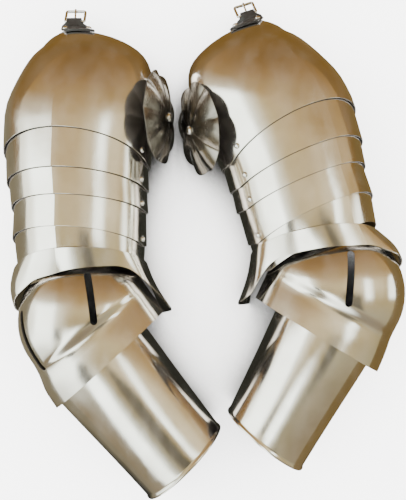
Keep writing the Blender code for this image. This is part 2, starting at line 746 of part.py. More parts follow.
def build_tab(arm):
    """Make the leather tab, one strip that runs over the cap, round the buckle's bar and back under."""
    run, face, side = tab_directions(arm)
    hold = STEEL / 2 + TAB_SEAT + TAB_LEATHER
    stations = [(CAP_ROWS[k] * LAP_LINES[1][0], hold) for k in range(TAB_LAP_ROWS, -1, -1)]
    stations += [(-TAB_FLAT / 2, hold), (-TAB_FLAT, TAB_FOLD_RADIUS)]
    columns = [TAB_HALF_WIDTH * (k / 3 - 1) for k in range(7)]
    grid, hearts = [], []

    def add_row(along, offset, swing):
        line = []
        for across in columns:
            base, out = tab_base(arm, along, across)
            line.append(base + out * offset * math.cos(swing) + run * abs(offset) * math.sin(swing))
        grid.append(line)
        hearts.append(tab_base(arm, along, 0.0)[0])

    for along, offset in stations:
        add_row(along, offset, 0.0)
    for k in range(7):
        add_row(-TAB_FOLD, TAB_FOLD_RADIUS, math.pi * k / 6)
    for along, offset in reversed(stations):
        add_row(along, -offset, 0.0)
    return shell(arm["name"] + "_tab", grid, lambda i: hearts[i], "black_leather", wall=TAB_LEATHER)


def build_buckle(arm):
    """Make the buckle's wire frame, its prong and the tab's two rivets."""
    run, face, side = tab_directions(arm)
    bar = tab_base(arm, -TAB_FOLD, 0.0)[0]
    half = BUCKLE_INNER_HALF + BUCKLE_WIRE
    path = []
    for a, b, turn in ((-1, 0, 180), (1, 0, 270), (1, 1, 0), (-1, 1, 90)):
        inner_side = a * (half - BUCKLE_CORNER)
        inner_run = BUCKLE_CORNER if b == 0 else BUCKLE_LENGTH - BUCKLE_CORNER
        for step in (0, 45, 90):
            swing = math.radians(turn + step)
            offset = side * (inner_side + BUCKLE_CORNER * math.cos(swing))
            path.append(bar + offset + run * (inner_run + BUCKLE_CORNER * math.sin(swing)))
    mesh = bmesh.new()
    rings = []
    for k, point in enumerate(path):
        ahead = (path[(k + 1) % len(path)] - path[k - 1]).normalized()
        level = ahead.cross(face)
        ring = []
        for j in range(8):
            swing = math.pi * j / 4
            spoke = face * math.cos(swing) + level * math.sin(swing)
            ring.append(mesh.verts.new((point + spoke * BUCKLE_WIRE) * MM))
        rings.append(ring)
    for k in range(len(rings)):
        first, second = rings[k - 1], rings[k]
        for j in range(8):
            mesh.faces.new((first[j], first[(j + 1) % 8], second[(j + 1) % 8], second[j]))
    add_solid(arm["name"] + "_buckle", mesh, "chrome")
    start = bar + run * (TAB_FOLD_RADIUS + SEAT_GAP)
    end = bar + run * BUCKLE_LENGTH + face * (BUCKLE_WIRE + PRONG_RADIUS + SEAT_GAP)
    reach = (end - start).length
    profile = [(0, 0), (PRONG_RADIUS, 0), (PRONG_RADIUS, reach), (0, reach + PRONG_RADIUS)]
    turned(arm["name"] + "_prong", profile, start, end - start, "chrome", 8)
    hold = STEEL / 2 + TAB_SEAT + TAB_LEATHER + SEAT_GAP
    profile = [(0, 0), (RIVET_RADIUS, 0), (RIVET_RADIUS * 0.8, RIVET_HEIGHT * 0.65), (0, RIVET_HEIGHT)]
    for number, across in enumerate((-TAB_RIVET[1], TAB_RIVET[1]), 1):
        base, out = tab_base(arm, TAB_RIVET[0], across)
        turned("{}_tab_rivet_{}".format(arm["name"], number), profile, base + out * hold, out, "bright_rivet", 10)


def pivot_point(arm, number, side):
    """Return where the lap's front or back rivet goes through the plates; the first lap is number 1."""
    angle = arm["ridge"] + RIVET_FRONT[number - 1] if side == "front" else RIVET_BACK
    return above_edge(arm, number - 1, angle)[0]


def moving_bodies(arm):
    """Return each moving body's hinge point and its solids."""
    name = arm["name"]
    bodies = []
    for number in range(1, 5):
        heart = (pivot_point(arm, number, "front") + pivot_point(arm, number, "back")) / 2
        solids = ["{}_lame_{}".format(name, number)]
        if number < 4:
            solids += ["{}_{}_rivet_{}".format(name, side, number + 1) for side in ("front", "back")]
        else:
            solids.append(name + "_collar")
        bodies.append((heart, solids))
    elbow = Vector((arm["elbow"][0], arm["elbow"][1], DOME_WIDEST))
    bodies.append((elbow, [name + "_cup", name + "_vambrace"]))
    return bodies


def move_origin(solid, point):
    """Put an object's origin at a point and leave its mesh where it is."""
    for vertex in solid.data.vertices:
        vertex.co -= point * MM
    solid.location = point * MM


def table_middle():
    """Return the point of the table under the middle of the whole pair."""
    corners = []
    for solid in bpy.data.objects:
        if not solid.hide_render:
            corners += [solid.location + vertex.co for vertex in solid.data.vertices]
    middle = [(min(c[k] for c in corners) + max(c[k] for c in corners)) / 2 for k in range(2)]
    return Vector((middle[0], middle[1], 0.0))


def main():
    """Build both arms, put each moving piece's origin on its hinge, and centre the pair."""
    clear_scene()
    for arm in ARMS:
        build_cap(arm)
        for number in range(1, 5):
            build_lame(arm, number)
        build_collar(arm)
        build_cup(arm)
        build_tube(arm)
        build_rivets(arm)
        build_disc(arm)
        build_boss(arm)
        build_thong(arm)
        build_tab(arm)
        build_buckle(arm)
        for heart, solids in moving_bodies(arm):
            for name in solids:
                move_origin(bpy.data.objects[name], heart)
    middle = table_middle()
    for solid in bpy.data.objects:
        solid.location -= middle


main()
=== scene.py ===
"""Looks of a pair of steel arm harnesses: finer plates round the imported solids, finishes, light and camera.

The shapes come from the same named sizes as the solids, in millimetres. Every piece stands for one solid.
"""
import json
from bisect import bisect_right
from math import asin, copysign, cos, degrees, hypot, pi, radians, sin, tan

import bpy
import bmesh
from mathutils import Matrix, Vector


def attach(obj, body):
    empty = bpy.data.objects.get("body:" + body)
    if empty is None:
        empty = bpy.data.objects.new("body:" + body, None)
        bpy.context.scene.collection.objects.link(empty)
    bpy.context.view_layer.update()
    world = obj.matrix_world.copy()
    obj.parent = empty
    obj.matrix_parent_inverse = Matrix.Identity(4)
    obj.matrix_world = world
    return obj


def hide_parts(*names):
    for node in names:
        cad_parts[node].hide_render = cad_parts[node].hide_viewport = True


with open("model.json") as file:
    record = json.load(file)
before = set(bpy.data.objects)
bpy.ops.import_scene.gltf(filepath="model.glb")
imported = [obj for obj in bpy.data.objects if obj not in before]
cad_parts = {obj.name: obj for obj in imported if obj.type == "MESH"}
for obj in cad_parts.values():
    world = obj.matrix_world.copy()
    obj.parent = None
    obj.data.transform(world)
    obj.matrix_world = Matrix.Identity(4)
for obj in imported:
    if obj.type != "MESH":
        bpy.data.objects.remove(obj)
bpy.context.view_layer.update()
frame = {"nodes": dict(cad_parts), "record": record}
BODY_OF = {node: body for body, nodes in frame["record"]["behaviour"]["bodies"].items() for node in nodes}

MM = 0.001
PAIR_MIDDLE = Vector((-0.0558, 7.3041, 0.0))   # of the pair, from the middle of the photograph
RIM_ROUND = 0.35       # rounding of a plate's rims
RIM_SEGMENTS = 2
RIM_ANGLE = 50.0       # edges that turn by more than this are rounded
SHARP_ANGLE = 40.0     # edges that turn by more than this are shaded as sharp
WALL_STEPS = 6         # columns below the widest line
AXIS_HEIGHT = 12.0     # of the points in the upper arm's hollow that tell a sheet's two sides apart
HEAD_COLUMNS = 28      # round a rivet's head
HEAD_STEP = 15         # degrees between its rings
TINY = 1e-6            # a smaller height is on the table, a smaller radius is a point
HALVINGS = 40          # of a range in which a place is looked for
SPAN = 2.0             # to each side of a place whose direction is worked out

# Sheet and clearances
STEEL = 1.4            # wall of every plate
SEAT_GAP = 0.3         # between pieces that touch
LAP_GAP = 0.9          # between a plate and the one that slides under it
LAP = 13.0             # how far a lame runs up under the plate above it
LAP_STRAIGHT = 3.0     # how far below the upper plate's edge a lame starts to open out

# The arch of a plate: the wall below its widest line leans in and ends on the table
WALL_END = 120.0       # degrees from upright at which the wall meets the table
WALL_TUCK = 9.0        # how far the foot of the wall leans in
CREASE_REACH = 32.0    # degrees on each side of the ridge that the crease lifts
CREASE_LIFT = 0.04     # share of the arch's size that it lifts the ridge by
ARCH_STEP = 3.0        # degrees between columns

# Upper arm, from the shoulder point down: the plates' common surface. Each arm's cap starts a little above
# the table's first row, and the lift fades out down to here
CAP_LIFT_END = 110.0
CAP_LIFT_POWER = 0.6
CAP_TIP_REACH = 24.0   # down the arm from the tip, that the tip leans over
UPPER_ARM = (
    ("along", "half_width", "front_shift", "widest", "crown"),
    (0, 22, 1, 12, 40),
    (10, 43, 8, 22, 57),
    (23, 57, 10, 32, 72),
    (37, 68, 10, 38, 85),
    (66, 79, 6, 43, 101),
    (91, 84, 1, 45, 108),
    (122, 84, -2, 45, 110),
    (150, 82, -3, 45, 110),
    (176, 79.5, -2, 45, 109),
    (199, 77, 0, 45, 108),
    (223, 75.5, -1, 45, 107),
    (250, 75, 0, 45, 106),
    (290, 74, 0, 45, 104),
)

# Lower edges of the cap and the lames: place on the ridge, and drop at each side. The last one lies under
# the upper elbow plate
LAP_LINES = (
    ("ridge", "front_drop", "back_drop"),
    (118, 32, 30),
    (159, 18, 21),
    (187, 15, 20),
    (220, 21, 22),
    (252, 22, 22),
)
LAST_LAME_SINK = 4.2   # how far the last one lies inside the common surface
CAP_ROWS = (           # shares of its length
    0.0, 0.02, 0.04, 0.06, 0.08, 0.105, 0.13, 0.165, 0.2, 0.25,
    0.31, 0.38, 0.46, 0.55, 0.64, 0.73, 0.82, 0.91, 0.97, 1.0,
)
CAP_RIVET_ROW = 0.82

# Pivot rivets, one on each side of each overlap, by their angle from the ridge
RIVET_FRONT = (75, 78, 81, 86)
RIVET_BACK = -105.0
RIVET_ABOVE_EDGE = 7.0
RIVET_RADIUS = 3.2
RIVET_HEIGHT = 2.2

# Upper elbow plate: top edge and lower edge by angle, with the lower edge's own place
COLLAR = (
    ("angle", "top", "low", "low_across", "low_height", "bulge"),
    (-120, 281, 320, -73, 0, 0),
    (-105, 279, 319, -75, 22, 2),
    (-90, 276, 316, -75, 45, 4),
    (-75, 269, 309, -74, 62, 4),
    (-60, 262, 298, -68, 78, 3),
    (-45, 254, 288, -56, 86, 2),
    (-30, 248, 277, -40, 94, 1),
    (-15, 244, 271, -20, 100, 0),
    (0, 242, 266, -2, 103, 0),
    (15, 242, 263, 20, 101, 0),
    (30, 243, 262, 38, 95, 0),
    (45, 246, 263, 53, 87, 0),
    (60, 250, 270, 67, 78, 0),
    (75, 255, 293, 90, 63, -2),
    (90, 259, 312, 104, 45, -3),
    (105, 262, 318, 98, 22, -2),
    (120, 264, 322, 90, 0, 0),
)
COLLAR_LIFT = 0.4       # of its top edge over the common surface
COLLAR_SIZE_AT = 262    # down the arm, where its tilt is worked out from the arm's width
COLLAR_MIDDLE = 275     # down the arm
WING_ANGLES = (75, 90)  # the wing's change from the table comes in between these
HEEL_ANGLE = 60         # the heel's reach is full from this angle on, at the back
RISE_ANGLES = (15, -90)  # the heel's rise swells and fades between these
COLLAR_ROWS = (0.0, 0.04, 0.12, 0.22, 0.35, 0.5, 0.65, 0.8, 0.92, 1.0)

# Elbow cup: a dome turned about the upright elbow axis, then a crease and a flared rim
DOME_RADIUS = 75.0
DOME_WIDEST = 45.0
DOME_POWER = 2.3
CUP_FRONT_ANGLE = 82.0
CUP_COLUMNS = 60
CUP_END_SLANT = 4.0
CUP_FOOT_DROP = 11.0    # how far its top edge falls back at the foot of the wall
CUP_FOOT_FROM = -44.0   # the rows above this one do
CUP_FOOT_ANGLES = (75, 105)  # at the back, over which that comes in
CUP_BACK_ANGLE = -89.0  # of the last place that is seen from above
CUP_HEART = (0.6, 20)   # share of a row's place, and height, of the points inside its hollow
CUP_SPREAD_OVER = 40    # above the elbow axis, over which its front spreads
CUP_RIM_FULL = 34.0     # from here down the rim has its own width at the back
CUP_RIM = (
    ("along", "back_half", "front_half", "rise"),
    (0, 75, 74, 70),
    (9, 75.5, 73.5, 69),
    (17, 77, 73, 64.5),
    (34, 80, 72, 66.5),
    (58, 82, 71, 68.5),
)
CUP_ROWS = (
    -67, -64, -60, -54, -47, -40, -33, -26, -19, -12, -5, 1,
    5, 8, 10.5, 13, 15.5, 18, 22, 28, 35, 43, 49, 52,
)

# Slots through the cup, each from one point to another, seen from above in the cup's frame
SLOT_WIDTH = 7.4
SLOT_END_SEGMENTS = 12
SLOT_DEPTH = 26.0

# Forearm tube: a closed oval that lies on the table
TUBE = (
    ("along", "half_width", "height"),
    (31, 61.5, 104),
    (60, 60.5, 103),
    (110, 57.5, 99),
    (160, 55, 94),
    (197, 53.5, 91),
)
TUBE_COLUMNS = 28
TUBE_SHARES = 4        # finer columns to each of the solid's
TUBE_ROWS = (          # along, and how far the rolled rim stands out
    (31, 0), (34, 0), (45, 0), (60, 0), (85, 0), (110, 0), (135, 0), (160, 0), (180, 0), (191, 0),
    (193.2, 0.2), (194.4, 1.0), (195.7, 1.2), (197, 0.9),
)

# Fluted disc at the armpit
DISC_RADIUS = 52.0
DISC_PETALS = 8
DISC_DOME = 12.0
DISC_FLUTE = 3.0
DISC_SCALLOP = 0.07
DISC_COLUMNS = 16      # to each petal
DISC_ROWS = (0.05, 0.1, 0.18, 0.28, 0.4, 0.52, 0.64, 0.75, 0.85, 0.93, 0.98, 1.0)   # from its hole
BOSS_RADIUS = 5.0
BOSS_HEIGHT = 3.4
BOSS_SHANK = 2.2
THONG_WIDTH = 14.0
THONG_THICK = 2.6
THONG_SEAT = 0.4       # short of the cap's wall

# Leather tab and buckle at the shoulder point; the tab straddles the cap's edge and folds round the bar
TAB_HALF_WIDTH = 16.0
TAB_NARROW = 0.5       # share of its width that is left at the fold
TAB_LEATHER = 2.4
TAB_SEAT = 0.5         # between its faces and the cap's curved sheet
TAB_LAP_ROWS = 4       # it runs over and under the cap as far as this row of the cap
TAB_FLAT = 7.0         # how far beyond the shoulder point it has lost the cap's curve
TAB_FOLD = 11.0        # how far beyond the shoulder point it folds
TAB_FOLD_RADIUS = 4.2
TAB_SLOPE = 0.5        # fall for each millimetre beyond the shoulder point
TAB_FACE_FROM = 3.0    # down from the cap's tip, where the way it faces is first taken
TAB_COLUMNS = 24
TAB_FOLD_STEPS = 18
TAB_RIVET = (5.0, 12.5)
BUCKLE_INNER_HALF = 9.6
BUCKLE_LENGTH = 17.0
BUCKLE_WIRE = 1.5
BUCKLE_CORNER = 2.0
CORNER_STEP = 15       # degrees
WIRE_SIDES = 16
PRONG_RADIUS = 1.1

# The two arms: where they lie, which way their front faces, how far they are rolled and bent, and what each
# adds to the tables
ARM_VALUES = {          # left, right
    "name": ("left", "right"), "tip": ((-140.0, 245.0), (53.5, 257.2)), "lean": (0.0, 17.0), "front": (1, -1),
    "ridge": (-9.0, -27.0), "cap_lift": (11.0, 7.0), "cap_shift": (-2.0, 7.0), "tip_shift": (-9.0, -12.0),
    "collar_tilt": (0.0, 6.0), "wing_shift": (0.0, -12.0), "wing_reach": (0.0, 2.0),
    "heel_reach": (-3.0, 7.5), "heel_rise": (0.0, 6.0), "elbow": ((-132.3, -78.2), (153.0, -49.5)),
    "bend_lean": (39.2, -28.2), "front_spread": (4.0, 10.0), "dome_back": (0.0, -3.0),
    "rim_back": (5.0, -4.0), "tube_shift": (-17.0, -6.0), "tube_add": (2.0, -2.5),
    "mouth_add": (0.0, -11.0), "mouth_slant": (4.0, 8.0),
    "slots": ((((-33, 41.5), (8.7, 19.8)), ((-46, -41), (12, -58))),
              (((-40, 21), (6.4, 2)), ((-47, -52), (9, -66)))),
    "disc": ((-50.2, 149.0, 56.0), (-4.0, 136.0, 56.0)), "disc_tilt": (76.0, 66.0), "disc_turn": (0.0, 12.0),
}
ARMS = [{key: pair[side] for key, pair in ARM_VALUES.items()} for side in (0, 1)]

# Camera: straight above, at the photograph's scale of 1.15 mm to a pixel where the arms are widest
CAMERA_HEIGHT = 0.645   # metres
CAMERA_ANGLE = 51.2     # degrees over the photograph's height

# The pale floor: greys by a noise, and a painted shade that darkens its colour to black in narrow places
FLOOR_TONES = ((0.3, 0.93), (0.7, 0.96))
FLOOR_PAINTED_SHADE = (0.003, 0.003, 0.003)
SHADE_REACH = 150.0     # how far off a piece darkens the floor with the painted shade
SHADE = (0.22, 0.5)     # open shares of the sky at which the painted shade makes the floor black, and leaves it pale
SHADE_SAMPLES = 12
FLOOR_LIGHT = 7.0       # of the room on what is not steel
FLOOR_HALF = 4.0        # metres
FLOOR_SINK = 0.0004     # metres below the table, clear of the plates' feet

# Painted reflection: rays that come straight off the plates see the pale floor glow in these colours, so the
# plates mirror it as a wooden floor, dark with a painted shade between the arms: colours by the share of the
# middle two metres across, and the colour beyond the shoulders, with the metres between which it comes in
PAINTED_REFLECTION_BETWEEN = (0.035, 0.035, 0.028)
PAINTED_REFLECTION_ACROSS = (
    (0.37, (0.29, 0.25, 0.16)), (0.44, PAINTED_REFLECTION_BETWEEN), (0.55, PAINTED_REFLECTION_BETWEEN), (0.6, (0.24, 0.16, 0.055)),
)
PAINTED_REFLECTION_FAR = (0.27, 0.15, 0.035)
PAINTED_REFLECTION_FAR_FROM = (0.16, 0.3)
FIRST_RAY = 1.5         # the depth of a ray that comes straight from the mirroring plate is below this

# What they mirror of the room: colours by the direction looked at, from -1 to 1, first from the wrists' end
# of the room to the shoulders' end
ROOM_ALONG = (
    (-1.0, (0.28, 0.23, 0.14)), (-0.75, (0.36, 0.28, 0.16)), (-0.45, (0.56, 0.49, 0.28)),
    (-0.15, (0.66, 0.50, 0.21)), (0.12, (0.98, 0.77, 0.39)), (0.25, (0.82, 0.58, 0.26)),
    (0.36, (0.66, 0.43, 0.16)), (0.5, (0.56, 0.35, 0.12)), (0.62, (0.48, 0.28, 0.085)),
    (0.78, (0.37, 0.2, 0.05)), (1.0, (0.27, 0.14, 0.025)),
)
CREAM_WALL = (1.9, 1.75, 1.25)
WINDOW = (4.4, 4.8, 4.6)
DARK_BEAM = (0.07, 0.062, 0.04)
PATCHES = (             # laid over it: shares by the direction across, shares along, colour
    (((-0.4, 0.1), (-0.2, 0.0), (0.12, 0.05), (0.32, 0.35), (0.62, 0.35), (0.85, 0.3), (0.93, 0.0)),
     ((-0.2, 0.0), (0.0, 0.6), (0.1, 1.0), (0.24, 1.0), (0.32, 0.3), (0.42, 0.0)), CREAM_WALL),
    (((-1.0, 0.4), (-0.97, 0.5), (-0.92, 1.0), (-0.64, 1.0), (-0.54, 0.3), (-0.42, 0.1), (-0.3, 0.0)),
     ((-0.75, 0.0), (-0.55, 0.4), (-0.4, 0.8), (-0.2, 1.0), (0.21, 1.0), (0.28, 0.6), (0.34, 0.12),
      (0.6, 0.0)), WINDOW),
    (((-0.42, 0.0), (-0.36, 1.0), (-0.16, 1.0), (-0.06, 0.25), (0.05, 0.0)),
     ((-0.8, 0.7), (-0.6, 1.0), (-0.3, 1.0), (-0.16, 0.0)), WINDOW),
    (((0.46, 0.0), (0.5, 0.9), (0.58, 0.7), (0.68, 0.0), (0.93, 0.0), (0.97, 0.7)),
     ((-0.16, 0.0), (-0.08, 1.0), (0.25, 0.8), (0.3, 0.0)), WINDOW),
    (((0.08, 0.0), (0.17, 0.85), (0.36, 0.9), (0.44, 0.0)),
     ((-0.52, 0.0), (-0.4, 1.0), (-0.08, 1.0), (0.0, 0.0)), DARK_BEAM),
    (((-0.6, 0.0), (-0.55, 0.95), (-0.46, 0.95), (-0.41, 0.0)),
     ((-0.42, 0.0), (-0.34, 1.0), (-0.19, 1.0), (-0.15, 0.0)), DARK_BEAM),
)
ROOM_LIGHT = (0.9, 0.9, 0.9)

# Soft lights, which the plates don't mirror: name, place, size, power, colour
LIGHTS = (
    ("window_left", (-1.3, 0.5, 1.1), (0.9, 1.4), 16, (1.0, 0.98, 0.95)),
    ("window_right", (1.5, -0.2, 0.9), (0.6, 1.6), 10, (0.95, 0.98, 1.0)),
    ("ceiling", (0.1, 0.3, 2.4), (1.6, 1.0), 20, (1.0, 0.97, 0.93)),
)


class Nodes:
    """Nodes that are put together step by step."""

    def __init__(self, tree):
        self.tree = tree

    def put(self, socket, value):
        """Give a socket a value or another node's output."""
        if isinstance(value, bpy.types.NodeSocket):
            self.tree.links.new(value, socket)
        else:
            socket.default_value = value

    def add(self, kind, inputs=(), **settings):
        """Add a node with its settings, then its inputs by name or number."""
        node = self.tree.nodes.new(kind)
        for key, value in settings.items():
            setattr(node, key, value)
        for key, value in dict(inputs).items():
            self.put(node.inputs[key], value)
        return node

    def math(self, operation, first, second):
        return self.add("ShaderNodeMath", {0: first, 1: second}, operation=operation).outputs["Value"]

    def span(self, source, low, high, low_to=0.0, high_to=1.0):
        """Return a value moved from one range to another."""
        ends = {"From Min": low, "From Max": high, "To Min": low_to, "To Max": high_to}
        return self.add("ShaderNodeMapRange", {"Value": source, **ends}).outputs["Result"]

    def ramp(self, source, stops):
        """Return colours or greys by a value, from (place, colour or grey) stops."""
        ramp = self.add("ShaderNodeValToRGB", {"Fac": source})
        elements = ramp.color_ramp.elements
        elements[0].position, elements[1].position = stops[0][0], stops[-1][0]
        for stop in stops[1:-1]:
            elements.new(stop[0])
        for element, (_, colour) in zip(elements, stops):
            element.color = (*colour, 1.0) if isinstance(colour, tuple) else (*[colour] * 3, 1.0)
        return ramp.outputs["Color"]

    def by_direction(self, source, stops):
        """Return colours or greys by a direction from -1 to 1."""
        return self.ramp(self.span(source, -1.0, 1.0), [((spot + 1) / 2, value) for spot, value in stops])

    def mixed(self, share, first, second):
        """Mix a colour with a fixed one by a share."""
        inputs = {"Factor": share, "A": first, "B": (*second, 1.0)}
        return self.add("ShaderNodeMix", inputs, data_type="RGBA").outputs["Result"]

    def picked(self, share, first, second):
        """Return the shader that is the first or the second by a share."""
        return self.add("ShaderNodeMixShader", {0: share, 1: first, 2: second}).outputs["Shader"]


class Surface(Nodes):
    """The nodes of a new material."""

    def __init__(self, name):
        self.material = bpy.data.materials.new(name)
        self.material.use_nodes = True
        super().__init__(self.material.node_tree)
        self.shader = self.tree.nodes["Principled BSDF"]
        self.place = self.add("ShaderNodeTexCoord").outputs["Object"]

    def set(self, **inputs):
        """Set the shader's own sockets."""
        for key, value in inputs.items():
            self.put(self.shader.inputs[key.replace("_", " ")], value)

    def noise(self, size, detail=3.0, stretch=(1, 1, 1)):
        """Return a noise whose features are about size millimetres, stretched along the axes."""
        scale = [1 / (size * MM * s) for s in stretch]
        mapped = self.add("ShaderNodeMapping", {"Vector": self.place, "Scale": scale}).outputs["Vector"]
        inputs = {"Vector": mapped, "Scale": 1.0, "Detail": detail}
        return self.add("ShaderNodeTexNoise", inputs).outputs["Fac"]

    def cells(self, size):
        """Return a cell pattern of about size millimetres."""
        inputs = {"Vector": self.place, "Scale": 1 / (size * MM)}
        return self.add("ShaderNodeTexVoronoi", inputs, feature="DISTANCE_TO_EDGE").outputs["Distance"]

    def bump(self, height, strength, distance):
        """Add relief of a height in millimetres over what is there."""
        bump = self.add("ShaderNodeBump", {"Height": height, "Strength": strength, "Distance": distance * MM})
        normal = self.shader.inputs["Normal"]
        if normal.links:
            self.put(bump.inputs["Normal"], normal.links[0].from_socket)
        self.put(normal, bump.outputs["Normal"])


def steel(name, dark, light, smooth, dull, brushing):
    """Polished sheet steel: fine brushing along the limb, smears, stray scratches and hammered unevenness."""
    look = Surface(name)
    look.set(Metallic=1.0, Base_Color=look.ramp(look.noise(46, 4), ((0.3, dark), (0.7, light))))
    smear = look.noise(17, 5, (1, 2.4, 1))
    fine = look.noise(0.32, 2, (1, 70, 1))
    dullness = look.span(smear, 0.3, 0.72, smooth, dull)
    grain = look.span(fine, 0.3, 0.7, -0.03, 0.03)
    look.set(Roughness=look.math("ADD", dullness, grain))
    look.bump(look.noise(34, 2), 0.35, 0.5)
    look.bump(fine, brushing, 0.02)
    scratch = look.span(look.noise(1.1, 1, (1, 24, 1)), 0.70, 0.76)
    look.bump(scratch, 0.12, 0.03)
    return look.material


def leather(name):
    """Black grained leather with worn, paler high spots."""
    look = Surface(name)
    grain = look.cells(0.7)
    wear = look.noise(5, 5)
    tones = (0.35, (0.003, 0.0027, 0.0023)), (0.75, (0.012, 0.0105, 0.009))
    look.set(Base_Color=look.ramp(wear, tones), Specular_IOR_Level=0.5)
    look.set(Roughness=look.span(wear, 0.3, 0.7, 0.38, 0.62))
    look.bump(look.span(grain, 0.0, 0.25), 0.5, 0.12)
    look.bump(look.noise(2.2, 3), 0.3, 0.2)
    return look.material


def plated(name, colour, roughness):
    """Bright plated or burnished metal with faint pits and wear."""
    look = Surface(name)
    wear = look.noise(1.6, 4)
    low = tuple(0.8 * c for c in colour)
    look.set(Metallic=1.0, Base_Color=look.ramp(wear, ((0.3, low), (0.6, colour))))
    look.set(Roughness=look.span(wear, 0.3, 0.75, roughness, roughness * 2.4))
    look.bump(look.noise(0.5, 2), 0.15, 0.03)
    return look.material


FINISHES = {
    "polished_steel": steel("polished_steel", (0.70, 0.66, 0.59), (0.84, 0.81, 0.75), 0.09, 0.2, 0.25),
    # Blackened inside of the plates, and also a painted shade: it darkens the hollows seen through the slots
    # and, laid on every plate's rims, the gaps between plates
    "inner_steel_and_painted_shade": steel("inner_steel_and_painted_shade", (0.05, 0.045, 0.04), (0.12, 0.11, 0.1), 0.45, 0.65, 0.4),
    "dark_steel": steel("dark_steel", (0.17, 0.158, 0.138), (0.30, 0.28, 0.245), 0.16, 0.3, 0.3),
    "bright_rivet": plated("bright_rivet", (0.88, 0.87, 0.84), 0.08),
    "black_leather": leather("black_leather"),
    "chrome": plated("chrome", (0.85, 0.85, 0.84), 0.05),
}


def read_table(table, column, at):
    """Return a column's value on a smooth curve through the table's rows."""
    rows = table[1:]
    index = table[0].index(column)
    places = [row[0] for row in rows]
    values = [row[index] for row in rows]
    if at <= places[0]:
        return values[0]
    if at >= places[-1]:
        return values[-1]
    low = bisect_right(places, at) - 1
    high = low + 1

    def slope(k):
        before, after = max(k - 1, 0), min(k + 1, len(places) - 1)
        return (values[after] - values[before]) / (places[after] - places[before])

    span = places[high] - places[low]
    part = (at - places[low]) / span
    bend = part * part * (3 - 2 * part)
    rise = slope(low) * part * (1 - part) ** 2 - slope(high) * part * part * (1 - part)
    return values[low] * (1 - bend) + values[high] * bend + span * rise


def place(origin, lean, front, along, across, height):
    """Turn a distance along a limb, a distance to its front and a height into a point."""
    turn = radians(lean)
    down = (sin(turn), -cos(turn))
    side = (front * cos(turn), front * sin(turn))
    x = origin[0] + down[0] * along + side[0] * across
    y = origin[1] + down[1] * along + side[1] * across
    return Vector((x, y, height))


def arm_point(arm, along, across, height):
    """Return a point by its place down the upper arm from the shoulder point."""
    return place(arm["tip"], arm["lean"], arm["front"], along, across, height)


def arm_way(arm, along, across):
    """Return a level direction down the upper arm and to its front."""
    return place((0, 0), arm["lean"], arm["front"], along, across, 0)


def elbow_point(arm, along, across, height):
    """Return a point by its place down the forearm from the elbow axis."""
    return place(arm["elbow"], arm["bend_lean"], arm["front"], along, across, height)


def held(value):
    """Return a value kept between 0 and 1."""
    return max(0.0, min(1.0, value))


def halved(too_far, low, high):
    """Return the last place between two that isn't too far, by halving."""
    for _ in range(HALVINGS):
        middle = (low + high) / 2
        if too_far(middle):
            high = middle
        else:
            low = middle
    return low


def wall_below(half_width, widest, angle):
    """Return the place on the wall under the widest line."""
    part = (abs(angle) - 90) / (WALL_END - 90)
    across = copysign(half_width - WALL_TUCK * part * part, angle)
    return across, widest * (1 - part)


def arch(half_width, widest, crown, angle, ridge):
    """Return how far across and how high the arch lies at an angle from upright."""
    if abs(angle) > 90:
        return wall_below(half_width, widest, angle)
    turn = radians(angle)
    lift = 1 + CREASE_LIFT * max(0.0, 1 - abs(angle - ridge) / CREASE_REACH)
    return half_width * sin(turn) * lift, widest + (crown - widest) * cos(turn) * lift


def lift_share(arm, along):
    """Return how much of the cap's lift is left at a distance down the arm."""
    return max(0.0, (CAP_LIFT_END - along) / (CAP_LIFT_END + arm["cap_lift"])) ** CAP_LIFT_POWER


def arm_size(arm, column, along):
    """Return a size of this arm's surface from the common table."""
    share = lift_share(arm, along)
    size = read_table(UPPER_ARM, column, along + arm["cap_lift"] * share)
    if column == "front_shift":
        size += arm["cap_shift"] * share
        size += arm["tip_shift"] * max(0.0, 1 - (along + arm["cap_lift"]) / CAP_TIP_REACH)
    return size


def upper_point(arm, along, angle, out=0.0):
    """Return a point of the upper arm's surface, moved outward."""
    half_width = arm_size(arm, "half_width", along) + out
    crown = arm_size(arm, "crown", along) + out
    widest = arm_size(arm, "widest", along)
    across, height = arch(half_width, widest, crown, angle, arm["ridge"])
    return arm_point(arm, along, across + arm_size(arm, "front_shift", along), height)


def line_along(arm, number, angle):
    """Return how far down the arm a lap line lies at an angle."""
    ridge_place, front_drop, back_drop = LAP_LINES[number + 1]
    turn = min(abs(angle - arm["ridge"]), 90.0)
    drop = front_drop if angle > arm["ridge"] else back_drop
    return ridge_place + drop * (1 - cos(radians(turn)))


def cap_along(arm, part, angle):
    """Return how far down the arm a share of the cap's length lies at an angle."""
    return -arm["cap_lift"] + part * (line_along(arm, 0, angle) + arm["cap_lift"])


def arch_angles(ridge):
    """Return the columns of an arch, with one of them on the ridge."""
    back_steps = round((90 + ridge) / ARCH_STEP)
    front_steps = round((90 - ridge) / ARCH_STEP)
    wall = [90 + (WALL_END - 90) * k / WALL_STEPS for k in range(1, WALL_STEPS + 1)]
    angles = [-angle for angle in reversed(wall)]
    angles += [-90 + (90 + ridge) * k / back_steps for k in range(back_steps)]
    angles += [ridge + (90 - ridge) * k / front_steps for k in range(front_steps + 1)]
    return angles + wall


RIDGE_COLUMNS = {arm["name"]: arch_angles(arm["ridge"]).index(arm["ridge"]) for arm in ARMS}


